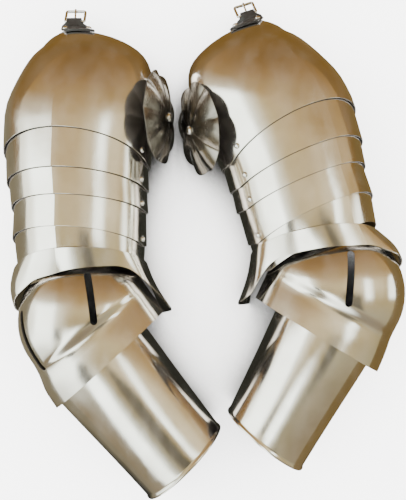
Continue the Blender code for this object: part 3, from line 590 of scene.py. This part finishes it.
def shell(name, outer, hearts, material="polished_steel", lining="inner_steel_and_painted_shade", wall=STEEL, closed=False):
    """Make a sheet of even thickness from rows of outer points, with a point in the hollow for each row."""
    rows, columns = len(outer), len(outer[0])

    def around(j):
        return j % columns if closed else max(0, min(columns - 1, j))

    inner = []
    for i in range(rows):
        line = []
        for j in range(columns):
            across = outer[i][around(j + 1)] - outer[i][around(j - 1)]
            along = outer[min(i + 1, rows - 1)][j] - outer[max(i - 1, 0)][j]
            normal = across.cross(along).normalized()
            if normal.dot(outer[i][j] - hearts[i]) > 0:
                normal = -normal
            point = outer[i][j] + normal * wall
            if abs(outer[i][j].z) < TINY:
                point.z = 0.0
            line.append(point)
        inner.append(line)
    mesh = bmesh.new()
    skins = [[[mesh.verts.new(point * MM) for point in line] for line in grid] for grid in (outer, inner)]
    steps = range(columns) if closed else range(columns - 1)

    def add_face(index, *corners):
        mesh.faces.new(corners).material_index = index

    for side, skin in enumerate(skins):
        for i in range(rows - 1):
            for j in steps:
                k = around(j + 1)
                add_face(side, skin[i][j], skin[i][k], skin[i + 1][k], skin[i + 1][j])
    out_skin, in_skin = skins
    # The rims take the lining's dark steel as a painted shade for the gaps between plates
    for i in (0, rows - 1):
        for j in steps:
            k = around(j + 1)
            add_face(1, out_skin[i][j], out_skin[i][k], in_skin[i][k], in_skin[i][j])
    if not closed:
        for j in (0, columns - 1):
            for i in range(rows - 1):
                add_face(1, out_skin[i][j], out_skin[i + 1][j], in_skin[i + 1][j], in_skin[i][j])
    piece = add_solid(name, mesh, material, lining)
    arm_name, kind = name.split("_")[:2]
    if kind in ("cap", "lame", "collar"):
        mark_ridge(piece, columns, RIDGE_COLUMNS[arm_name])
    round_rims(piece)
    return piece


def add_object(name, data):
    """Put data in the scene as an object; a bmesh is made into a mesh first."""
    if isinstance(data, bmesh.types.BMesh):
        mesh, data = data, bpy.data.meshes.new(name)
        mesh.to_mesh(data)
        mesh.free()
    added = bpy.data.objects.new(name, data)
    bpy.context.scene.collection.objects.link(added)
    return added


def add_solid(name, mesh, material, lining=None):
    """Make a bmesh into a piece that stands for the CAD node of its name and rides on its body."""
    bmesh.ops.translate(mesh, verts=mesh.verts, vec=-PAIR_MIDDLE * MM)
    bmesh.ops.recalc_face_normals(mesh, faces=mesh.faces)
    piece = add_object(name + "_look", mesh)
    for finish in (material, lining):
        if finish:
            piece.data.materials.append(FINISHES[finish])
    piece.data.shade_smooth()
    piece.data.set_sharp_from_angle(angle=radians(SHARP_ANGLE))
    if name in frame["nodes"]:
        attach(piece, BODY_OF[name])
        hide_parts(name)
    return piece


def mark_ridge(piece, columns, column):
    """Keep the crease along a plate's ridge sharp."""
    for edge in piece.data.edges:
        first, last = sorted(edge.vertices)
        if last - first == columns and first % columns == column:
            edge.use_edge_sharp = True


def round_rims(piece):
    """Round the rims of a plate a little, so that they catch the light."""
    bevel = piece.modifiers.new("rims", "BEVEL")
    bevel.width = RIM_ROUND * MM
    bevel.segments = RIM_SEGMENTS
    bevel.limit_method = "ANGLE"
    bevel.angle_limit = radians(RIM_ANGLE)
    bevel.harden_normals = True


def arm_axis(arm, along):
    """Return a point low in the hollow of the upper arm."""
    return arm_point(arm, along, arm_size(arm, "front_shift", along), AXIS_HEIGHT)


def build_cap(arm):
    """Make the shoulder cap, from the narrow arch at the shoulder point to the first lap line."""
    angles = arch_angles(arm["ridge"])
    grid = [[upper_point(arm, cap_along(arm, part, angle), angle) for angle in angles] for part in CAP_ROWS]
    hearts = [arm_axis(arm, cap_along(arm, part, 0)) for part in CAP_ROWS]
    shell(arm["name"] + "_cap", grid, hearts)


def build_lame(arm, number):
    """Make a lame, which starts under the plate above and opens out to its own lower edge."""
    sink = STEEL + LAP_GAP
    last = number == len(LAP_LINES) - 2
    grid = [[], [], []]
    for angle in arch_angles(arm["ridge"]):
        above = line_along(arm, number - 1, angle)
        end = line_along(arm, number, angle)
        start = above + LAP_STRAIGHT
        slope = 0.0
        if number > 1:
            slope = sink / (above - line_along(arm, number - 2, angle) - LAP_STRAIGHT)
        grid[0].append(upper_point(arm, above - LAP, angle, -sink - slope * LAP))
        grid[1].append(upper_point(arm, start, angle, -sink))
        grid[2].append(upper_point(arm, end, angle, -LAST_LAME_SINK if last else 0.0))
    shell(f'{arm["name"]}_lame_{number}', grid, [arm_axis(arm, line_along(arm, number, 0))] * len(grid))


def build_collar(arm):
    """Make the upper elbow plate, from over the fourth lame to its flared wing beside the cup."""
    grid = [[] for part in COLLAR_ROWS]
    half_width = arm_size(arm, "half_width", COLLAR_SIZE_AT)
    tilt = tan(radians(arm["collar_tilt"]))
    for angle in arch_angles(arm["ridge"]):
        to_front = sin(radians(angle))
        top_along = read_table(COLLAR, "top", angle) - tilt * half_width * to_front
        top = upper_point(arm, top_along, angle, COLLAR_LIFT)
        wing = held((angle - WING_ANGLES[0]) / (WING_ANGLES[1] - WING_ANGLES[0]))
        low_along = read_table(COLLAR, "low", angle) + wing * arm["wing_shift"]
        low_across = read_table(COLLAR, "low_across", angle)
        low_across += wing * arm["wing_reach"] - held(-angle / HEEL_ANGLE) * arm["heel_reach"]
        low_height = read_table(COLLAR, "low_height", angle)
        if abs(angle) < WALL_END:
            swell = held((RISE_ANGLES[0] - angle) / (RISE_ANGLES[0] - RISE_ANGLES[1]))
            low_height += arm["heel_rise"] * sin(pi * swell)
        low = arm_point(arm, low_along, low_across, low_height)
        bulge = read_table(COLLAR, "bulge", angle)
        outward = arm_way(arm, 0, to_front)
        for line, part in zip(grid, COLLAR_ROWS):
            point = top.lerp(low, part) + outward * bulge * sin(pi * part)
            if abs(angle) == WALL_END:
                point.z = 0.0
            line.append(point)
    hearts = [arm_axis(arm, COLLAR_MIDDLE)] * len(grid)
    # Its inside is the lighter dark steel rather than the blackened one, as painted light that lightens the
    # dark gap seen under its lower edge
    shell(arm["name"] + "_collar", grid, hearts, lining="dark_steel")


def dome_reach(along, turn, back_half, front_half, rise):
    """Return how far the cup's outline reaches from its middle in a direction from upright."""
    half = front_half if turn > 0 else back_half
    across, upward = sin(turn), cos(turn)

    def excess(reach):
        flat = reach * across * DOME_RADIUS / half
        radius = hypot(flat, along) if along < 0 else abs(flat)
        return (radius / DOME_RADIUS) ** DOME_POWER + (reach * upward / rise) ** DOME_POWER - 1

    return halved(lambda reach: excess(reach) > 0, 0.0, 2 * DOME_RADIUS)


def cup_point(arm, along, angle):
    """Return a point of the elbow cup's surface."""
    spread = arm["front_spread"] * held((along + CUP_SPREAD_OVER) / CUP_SPREAD_OVER)
    rim = held(along / CUP_RIM_FULL)
    back_half = read_table(CUP_RIM, "back_half", along) + arm["dome_back"] * (1 - rim) + arm["rim_back"] * rim
    front_half = read_table(CUP_RIM, "front_half", along) + spread
    rise = read_table(CUP_RIM, "rise", along)
    turn = radians(max(-90.0, angle))
    reach = dome_reach(along, turn, back_half, front_half, rise)
    across, height = reach * sin(turn), DOME_WIDEST + reach * cos(turn)
    if angle < -90:
        full = abs(across)
        across, height = wall_below(full, DOME_WIDEST, angle)
        along += max(0.0, -along) * (full - abs(across)) / DOME_RADIUS
    return elbow_point(arm, along, across, height)


def cup_angles():
    """Return the columns of the elbow cup, from the foot of its back wall to its front rim."""
    return [-WALL_END, -(90 + WALL_END) / 2] + [
        -90 + (90 + CUP_FRONT_ANGLE) * k / CUP_COLUMNS for k in range(CUP_COLUMNS + 1)]


def build_cup(arm):
    """Make the elbow cup, with its slots cut through."""
    grid = []
    first_foot, last_foot = CUP_FOOT_ANGLES
    for row in CUP_ROWS:
        share = (row - CUP_ROWS[0]) / (CUP_ROWS[-1] - CUP_ROWS[0])
        upper = max(0.0, (row - CUP_FOOT_FROM) / (CUP_ROWS[0] - CUP_FOOT_FROM))
        line = []
        for angle in cup_angles():
            slant = -CUP_END_SLANT * share * sin(radians(max(angle, -90)))
            foot = held((-angle - first_foot) / (last_foot - first_foot))
            line.append(cup_point(arm, row + slant + CUP_FOOT_DROP * upper * foot, angle))
        grid.append(line)
    hearts = [elbow_point(arm, row * CUP_HEART[0], 0, CUP_HEART[1]) for row in CUP_ROWS]
    cup = shell(arm["name"] + "_cup", grid, hearts)
    for number, (start, end) in enumerate(arm["slots"], 1):
        cutter = slot_cutter(arm, f'{arm["name"]}_slot_cutter_{number}', start, end)
        cut = cup.modifiers.new("slot", "BOOLEAN")
        cut.operation = "DIFFERENCE"
        cut.object = cutter
        with bpy.context.temp_override(object=cup, active_object=cup):
            bpy.ops.object.modifier_move_to_index(modifier="slot", index=0)
            bpy.ops.object.modifier_apply(modifier="slot")
        bpy.data.objects.remove(cutter, do_unlink=True)
    cup.data.set_sharp_from_angle(angle=radians(SHARP_ANGLE))


def surface_above(arm, along, across):
    """Return the cup's surface point over a place seen from above, by its angle."""
    axis = elbow_point(arm, 0, 0, 0)
    side = elbow_point(arm, 0, 1, 0) - axis

    def too_far(angle):
        return (cup_point(arm, along, angle) - axis).dot(side) > across

    return cup_point(arm, along, halved(too_far, CUP_BACK_ANGLE, CUP_FRONT_ANGLE))


def prism(name, tops, feet, material):
    """Make a solid between two outlines that have the same number of corners."""
    mesh = bmesh.new()
    tops, feet = ([mesh.verts.new(point * MM) for point in outline] for outline in (tops, feet))
    mesh.faces.new(tops)
    mesh.faces.new(feet)
    for k in range(len(tops)):
        mesh.faces.new((tops[k - 1], tops[k], feet[k], feet[k - 1]))
    return add_solid(name, mesh, material)


def slot_cutter(arm, name, start, end):
    """Make the round-ended prism that cuts one slot square to the surface at its middle."""
    first, last = surface_above(arm, *start), surface_above(arm, *end)
    halfway = surface_above(arm, (start[0] + end[0]) / 2, (start[1] + end[1]) / 2)
    length = (last - first).normalized()
    out = halfway - elbow_point(arm, 0, 0, DOME_WIDEST)
    out = (out - length * out.dot(length)).normalized()
    width = length.cross(out)
    ring = []
    for centre, from_turn in ((last, 0.0), (first, pi)):
        for k in range(SLOT_END_SEGMENTS + 1):
            turn = from_turn + pi * k / SLOT_END_SEGMENTS
            ring.append(centre + (width * cos(turn) + length * sin(turn)) * SLOT_WIDTH / 2)
    depth = out * SLOT_DEPTH
    return prism(name, [point + depth for point in ring], [point - depth for point in ring], "inner_steel_and_painted_shade")


def build_tube(arm):
    """Make the forearm tube, an oval that tapers to a thin rolled rim at the wrist."""
    grid, hearts = [], []
    count = TUBE_COLUMNS * TUBE_SHARES
    foot = cos(pi / TUBE_COLUMNS)
    for along, lip in TUBE_ROWS:
        half_width = read_table(TUBE, "half_width", along) + lip
        tall = read_table(TUBE, "height", along) + lip
        part = (along - TUBE[1][0]) / (TUBE[-1][0] - TUBE[1][0])
        line = []
        for k in range(count):
            turn = 2 * pi * (k + 0.5) / count
            height = max(0.0, (tall / 2) * (1 - cos(turn) / foot))
            across = arm["tube_shift"] + (half_width + arm["tube_add"]) * sin(turn)
            down = along + part * (arm["mouth_add"] - arm["mouth_slant"] * sin(turn))
            line.append(elbow_point(arm, down, across, height))
        grid.append(line)
        hearts.append(elbow_point(arm, along, arm["tube_shift"], read_table(TUBE, "height", along) / 2))
    shell(arm["name"] + "_vambrace", grid, hearts, closed=True)


def ring_round(mesh, middle, side, up, radius, columns):
    """Return a ring of new vertices round a point."""
    ring = []
    for k in range(columns):
        turn = 2 * pi * k / columns
        spoke = side * cos(turn) + up * sin(turn)
        ring.append(mesh.verts.new((middle + spoke * radius) * MM))
    return ring


def bridge(mesh, first, second, columns):
    """Join two rings with faces; a ring may be a single point."""
    for k in range(columns):
        after = (k + 1) % columns
        corners = [first[k % len(first)], first[after % len(first)]]
        corners += [second[after % len(second)], second[k % len(second)]]
        mesh.faces.new(list(dict.fromkeys(corners)))


def turned(name, profile, start, axis, material, columns=HEAD_COLUMNS):
    """Turn a profile of (radius, distance) points about an axis into a closed solid."""
    direction = Vector(axis).normalized()
    side = direction.orthogonal().normalized()
    up = direction.cross(side)
    mesh = bmesh.new()
    rings = []
    for radius, distance in profile:
        middle = start + direction * distance
        rings.append(ring_round(mesh, middle, side, up, radius, columns if radius > TINY else 1))
    for first, second in zip(rings, rings[1:]):
        bridge(mesh, first, second, columns)
    add_solid(name, mesh, material)


def domed(radius, height, foot=0.0):
    """Return the profile of a domed rivet head that starts at a foot."""
    steps = [radians(angle) for angle in range(0, 90, HEAD_STEP)]
    rings = [(radius * cos(turn), foot + height * sin(turn)) for turn in steps]
    return [(0, foot)] + rings + [(0, foot + height)]


def outward_at(arm, along, angle):
    """Return the surface's outward direction on the upper arm."""
    down = upper_point(arm, along + SPAN, angle) - upper_point(arm, along - SPAN, angle)
    across = upper_point(arm, along, angle + SPAN) - upper_point(arm, along, angle - SPAN)
    normal = down.cross(across).normalized()
    away = upper_point(arm, along, angle) - arm_axis(arm, along)
    return normal if normal.dot(away) > 0 else -normal


def above_edge(arm, number, angle):
    """Return the point on a plate just above its lower edge, and the way the plate runs there."""
    edge = line_along(arm, number, angle)
    start, sink = cap_along(arm, CAP_RIVET_ROW, angle), 0.0
    if number > 0:
        start, sink = line_along(arm, number - 1, angle) + LAP_STRAIGHT, STEEL + LAP_GAP
    high = upper_point(arm, start, angle, -sink)
    low = upper_point(arm, edge, angle)
    return low.lerp(high, RIVET_ABOVE_EDGE / (edge - start)), low - high


def build_rivets(arm):
    """Make the heads of the two pivot rivets of each overlap."""
    for number, offset in enumerate(RIVET_FRONT):
        for side, angle in (("front", arm["ridge"] + offset), ("back", RIVET_BACK)):
            seat, down = above_edge(arm, number, angle)
            across = above_edge(arm, number, angle + SPAN)[0] - above_edge(arm, number, angle - SPAN)[0]
            out = down.cross(across).normalized()
            if out.dot(outward_at(arm, line_along(arm, number, angle), angle)) < 0:
                out = -out
            name = f'{arm["name"]}_{side}_rivet_{number + 1}'
            turned(name, domed(RIVET_RADIUS, RIVET_HEIGHT), seat + out * SEAT_GAP, out, "bright_rivet")


def disc_frame(arm):
    """Return the disc's centre, the way it faces, and its two in-plane directions."""
    tilt, turn = radians(arm["disc_tilt"]), radians(arm["disc_turn"])
    level_share = arm["front"] * sin(tilt)
    facing = Vector((level_share * cos(turn), level_share * sin(turn), cos(tilt)))
    upright = Vector((-sin(turn), cos(turn), 0))
    return Vector(arm["disc"]), facing, upright, upright.cross(facing)


def disc_point(arm, share, turn):
    """Return a point of the fluted disc's face at a share of its radius."""
    centre, facing, upright, level = disc_frame(arm)
    petal = abs(sin(turn * DISC_PETALS / 2))
    radius = share * DISC_RADIUS * (1 - share * DISC_SCALLOP * (1 - petal))
    height = DISC_DOME * (1 - share * share) + DISC_FLUTE * share * petal
    return centre + upright * radius * cos(turn) + level * radius * sin(turn) + facing * height


def build_disc(arm):
    """Make the fluted disc that guards the armpit, and the rivet through its middle."""
    count = DISC_PETALS * DISC_COLUMNS
    grid = [[disc_point(arm, share, 2 * pi * k / count) for k in range(count)] for share in DISC_ROWS]
    centre, facing = disc_frame(arm)[:2]
    behind = centre - facing * DISC_RADIUS
    shell(arm["name"] + "_disc", grid, [behind] * len(grid), "dark_steel", closed=True)
    seat = STEEL + SEAT_GAP + DISC_FLUTE * BOSS_RADIUS / DISC_RADIUS
    profile = [(0, 0), (BOSS_SHANK, 0), (BOSS_SHANK, seat)] + domed(BOSS_RADIUS, BOSS_HEIGHT, seat)[1:]
    start = centre + facing * (DISC_DOME - STEEL)
    turned(arm["name"] + "_disc_boss", profile, start, facing, "bright_rivet")


def inside_cap(arm, point):
    """Tell whether a point is within the upper arm's surface."""
    turn = radians(arm["lean"])
    x, y = point.x - arm["tip"][0], point.y - arm["tip"][1]
    along = x * sin(turn) - y * cos(turn)
    across = arm["front"] * (x * cos(turn) + y * sin(turn))
    across -= arm_size(arm, "front_shift", along)
    widest = arm_size(arm, "widest", along)
    rise = arm_size(arm, "crown", along) - widest
    half_width = arm_size(arm, "half_width", along)
    return (across / half_width) ** 2 + (max(0.0, point.z - widest) / rise) ** 2 < 1


def build_thong(arm):
    """Make the leather thong that carries the disc off the cap's front wall."""
    centre, facing, upright, level = disc_frame(arm)
    under = DISC_DOME * (1 - DISC_ROWS[1] ** 2 / 2) - STEEL - SEAT_GAP
    fronts, backs = [], []
    for a, b in ((-1, -1), (1, -1), (1, 1), (-1, 1)):
        corner = centre + upright * a * THONG_WIDTH / 2 + level * b * THONG_THICK / 2
        reach = halved(lambda back: inside_cap(arm, corner - facing * back), 0.0, DISC_RADIUS)
        fronts.append(corner + facing * under)
        backs.append(corner - facing * (reach - THONG_SEAT))
    prism(arm["name"] + "_disc_thong", fronts, backs, "black_leather")


def tab_directions(arm):
    """Return the tab's run beyond the shoulder point, the way its face looks, and its side direction."""
    down, side = arm_way(arm, 1, 0), arm_way(arm, 0, 1)
    run = (-down - Vector((0, 0, TAB_SLOPE))).normalized()
    face = (Vector((0, 0, 1)) - down * TAB_SLOPE).normalized()
    return run, face, side


def tab_base(arm, along, across):
    """Return the tab's middle layer at a place, and the way its face looks there."""
    run, face, side = tab_directions(arm)
    part = max(along, 0.0) / LAP_LINES[1][0]
    half_width = arm_size(arm, "half_width", cap_along(arm, part, 0))
    angle = degrees(asin(across / half_width))
    on_cap = cap_along(arm, part, angle)
    seat = upper_point(arm, on_cap, angle, -STEEL / 2)
    out = outward_at(arm, max(on_cap, TAB_FACE_FROM - arm["cap_lift"]), angle)
    if along >= 0:
        return seat, out
    part = min(1.0, -along / TAB_FLAT)
    crown = upper_point(arm, -arm["cap_lift"], 0.0, -STEEL / 2)
    fall = run / abs(run.z) * TAB_SLOPE * -along
    flat = crown + side * across * (1 - part * (1 - TAB_NARROW)) + fall
    return (seat + fall).lerp(flat, part), out.lerp(face, part).normalized()


def build_tab(arm):
    """Make the leather tab, one strip that runs over the cap, round the buckle's bar and back under."""
    run = tab_directions(arm)[0]
    hold = STEEL / 2 + TAB_SEAT + TAB_LEATHER
    stations = [(CAP_ROWS[k] * LAP_LINES[1][0], hold) for k in range(TAB_LAP_ROWS, -1, -1)]
    stations += [(-TAB_FLAT / 2, hold), (-TAB_FLAT, TAB_FOLD_RADIUS)]
    columns = [TAB_HALF_WIDTH * (2 * k / TAB_COLUMNS - 1) for k in range(TAB_COLUMNS + 1)]
    grid, hearts = [], []

    def add_row(along, offset, swing):
        line = []
        for across in columns:
            base, out = tab_base(arm, along, across)
            line.append(base + out * offset * cos(swing) + run * abs(offset) * sin(swing))
        grid.append(line)
        hearts.append(tab_base(arm, along, 0.0)[0])

    for along, offset in stations:
        add_row(along, offset, 0.0)
    for k in range(TAB_FOLD_STEPS + 1):
        add_row(-TAB_FOLD, TAB_FOLD_RADIUS, pi * k / TAB_FOLD_STEPS)
    for along, offset in reversed(stations):
        add_row(along, -offset, 0.0)
    shell(arm["name"] + "_tab", grid, hearts, "black_leather", "black_leather", TAB_LEATHER)


def build_buckle(arm):
    """Make the buckle's wire frame, its prong and the tab's two rivets."""
    run, face, side = tab_directions(arm)
    bar = tab_base(arm, -TAB_FOLD, 0.0)[0]
    half = BUCKLE_INNER_HALF + BUCKLE_WIRE
    path = []
    for a, b, turn in ((-1, 0, 180), (1, 0, 270), (1, 1, 0), (-1, 1, 90)):
        inner_side = a * (half - BUCKLE_CORNER)
        inner_run = BUCKLE_CORNER if b == 0 else BUCKLE_LENGTH - BUCKLE_CORNER
        for step in range(0, 91, CORNER_STEP):
            swing = radians(turn + step)
            offset = side * (inner_side + BUCKLE_CORNER * cos(swing))
            path.append(bar + offset + run * (inner_run + BUCKLE_CORNER * sin(swing)))
    mesh = bmesh.new()
    rings = []
    for k, point in enumerate(path):
        ahead = (path[(k + 1) % len(path)] - path[k - 1]).normalized()
        rings.append(ring_round(mesh, point, face, ahead.cross(face), BUCKLE_WIRE, WIRE_SIDES))
    for k in range(len(rings)):
        bridge(mesh, rings[k - 1], rings[k], WIRE_SIDES)
    add_solid(arm["name"] + "_buckle", mesh, "chrome")
    start = bar + run * (TAB_FOLD_RADIUS + SEAT_GAP)
    end = bar + run * BUCKLE_LENGTH + face * (BUCKLE_WIRE + PRONG_RADIUS + SEAT_GAP)
    reach = (end - start).length
    profile = [(0, 0), (PRONG_RADIUS, 0), (PRONG_RADIUS, reach), (0, reach + PRONG_RADIUS)]
    turned(arm["name"] + "_prong", profile, start, end - start, "chrome", WIRE_SIDES)
    hold = STEEL / 2 + TAB_SEAT + TAB_LEATHER + SEAT_GAP
    profile = domed(RIVET_RADIUS, RIVET_HEIGHT)
    for number, across in enumerate((-TAB_RIVET[1], TAB_RIVET[1]), 1):
        base, out = tab_base(arm, TAB_RIVET[0], across)
        turned(f'{arm["name"]}_tab_rivet_{number}', profile, base + out * hold, out, "bright_rivet")


def build_floor():
    """Make the pale floor, with a painted shade near the pieces and a painted reflection that the plates
    mirror as a wooden floor.
    """
    look = Surface("pale_floor")
    # Painted shade: the floor's colour is mixed to black where the pieces hide the sky, in place of the
    # shadow under and between them
    sky = look.add("ShaderNodeAmbientOcclusion", {"Distance": SHADE_REACH * MM}, samples=SHADE_SAMPLES)
    painted_shade = look.span(sky.outputs["AO"], *SHADE, 1.0, 0.0)
    tone_and_painted_shade = look.mixed(painted_shade, look.ramp(look.noise(400), FLOOR_TONES), FLOOR_PAINTED_SHADE)
    look.set(Base_Color=tone_and_painted_shade, Roughness=0.8, Specular_IOR_Level=0.1)
    # Painted reflection: an emission in these colours that only rays straight off the plates see, standing in
    # for a wooden floor mirrored in the steel
    side = look.add("ShaderNodeSeparateXYZ", {"Vector": look.place}).outputs
    painted_reflection = look.ramp(look.span(side["X"], -1.0, 1.0), PAINTED_REFLECTION_ACROSS)
    painted_reflection = look.mixed(look.span(side["Y"], *PAINTED_REFLECTION_FAR_FROM), painted_reflection, PAINTED_REFLECTION_FAR)
    mirrored = look.add("ShaderNodeEmission", {"Color": painted_reflection}).outputs["Emission"]
    path = look.add("ShaderNodeLightPath").outputs
    share = look.math("MULTIPLY", path["Is Glossy Ray"], look.math("LESS_THAN", path["Ray Depth"], FIRST_RAY))
    shader = look.picked(share, look.shader.outputs["BSDF"], mirrored)
    look.put(look.tree.nodes["Material Output"].inputs["Surface"], shader)
    mesh = bmesh.new()
    bmesh.ops.create_grid(mesh, x_segments=1, y_segments=1, size=FLOOR_HALF)
    floor = add_object("floor", mesh)
    floor.data.materials.append(look.material)
    floor.location.z = -FLOOR_SINK


def build_room():
    """Make the room that the plates mirror and the soft light on the floor."""
    world = bpy.data.worlds.new("room")
    bpy.context.scene.world = world
    world.use_nodes = True
    room = Nodes(world.node_tree)
    source = room.add("ShaderNodeTexCoord").outputs["Generated"]
    x, y, z = room.add("ShaderNodeSeparateXYZ", {"Vector": source}).outputs
    colour = room.by_direction(y, ROOM_ALONG)
    for across, along, patch in PATCHES:
        share = room.math("MULTIPLY", room.by_direction(x, across), room.by_direction(y, along))
        colour = room.mixed(share, colour, patch)
    mirrored = room.tree.nodes["Background"]
    room.put(mirrored.inputs["Color"], colour)
    plain = room.add("ShaderNodeBackground", {"Color": (*ROOM_LIGHT, 1.0), "Strength": FLOOR_LIGHT})
    glossy = room.add("ShaderNodeLightPath").outputs["Is Glossy Ray"]
    shader = room.picked(glossy, plain.outputs["Background"], mirrored.outputs["Background"])
    room.put(room.tree.nodes["World Output"].inputs["Surface"], shader)
    for name, spot, size, power, colour in LIGHTS:
        data = bpy.data.lights.new(name, "AREA")
        data.shape = "RECTANGLE"
        data.size, data.size_y = size
        data.energy = power
        data.color = colour
        light = add_object(name, data)
        light.location = spot
        light.rotation_euler = (-Vector(spot)).to_track_quat("-Z", "Y").to_euler()
        light.visible_glossy = False


def build_camera():
    """Look straight down on the pair, as the photograph does."""
    data = bpy.data.cameras.new("camera")
    data.angle = radians(CAMERA_ANGLE)
    camera = add_object("camera", data)
    camera.location = (-PAIR_MIDDLE.x * MM, -PAIR_MIDDLE.y * MM, CAMERA_HEIGHT)
    bpy.context.scene.camera = camera


build_camera()
build_floor()
build_room()
for arm in ARMS:
    build_cap(arm)
    for number in range(1, len(LAP_LINES) - 1):
        build_lame(arm, number)
    build_collar(arm)
    build_cup(arm)
    build_tube(arm)
    build_rivets(arm)
    build_disc(arm)
    build_thong(arm)
    build_tab(arm)
    build_buckle(arm)
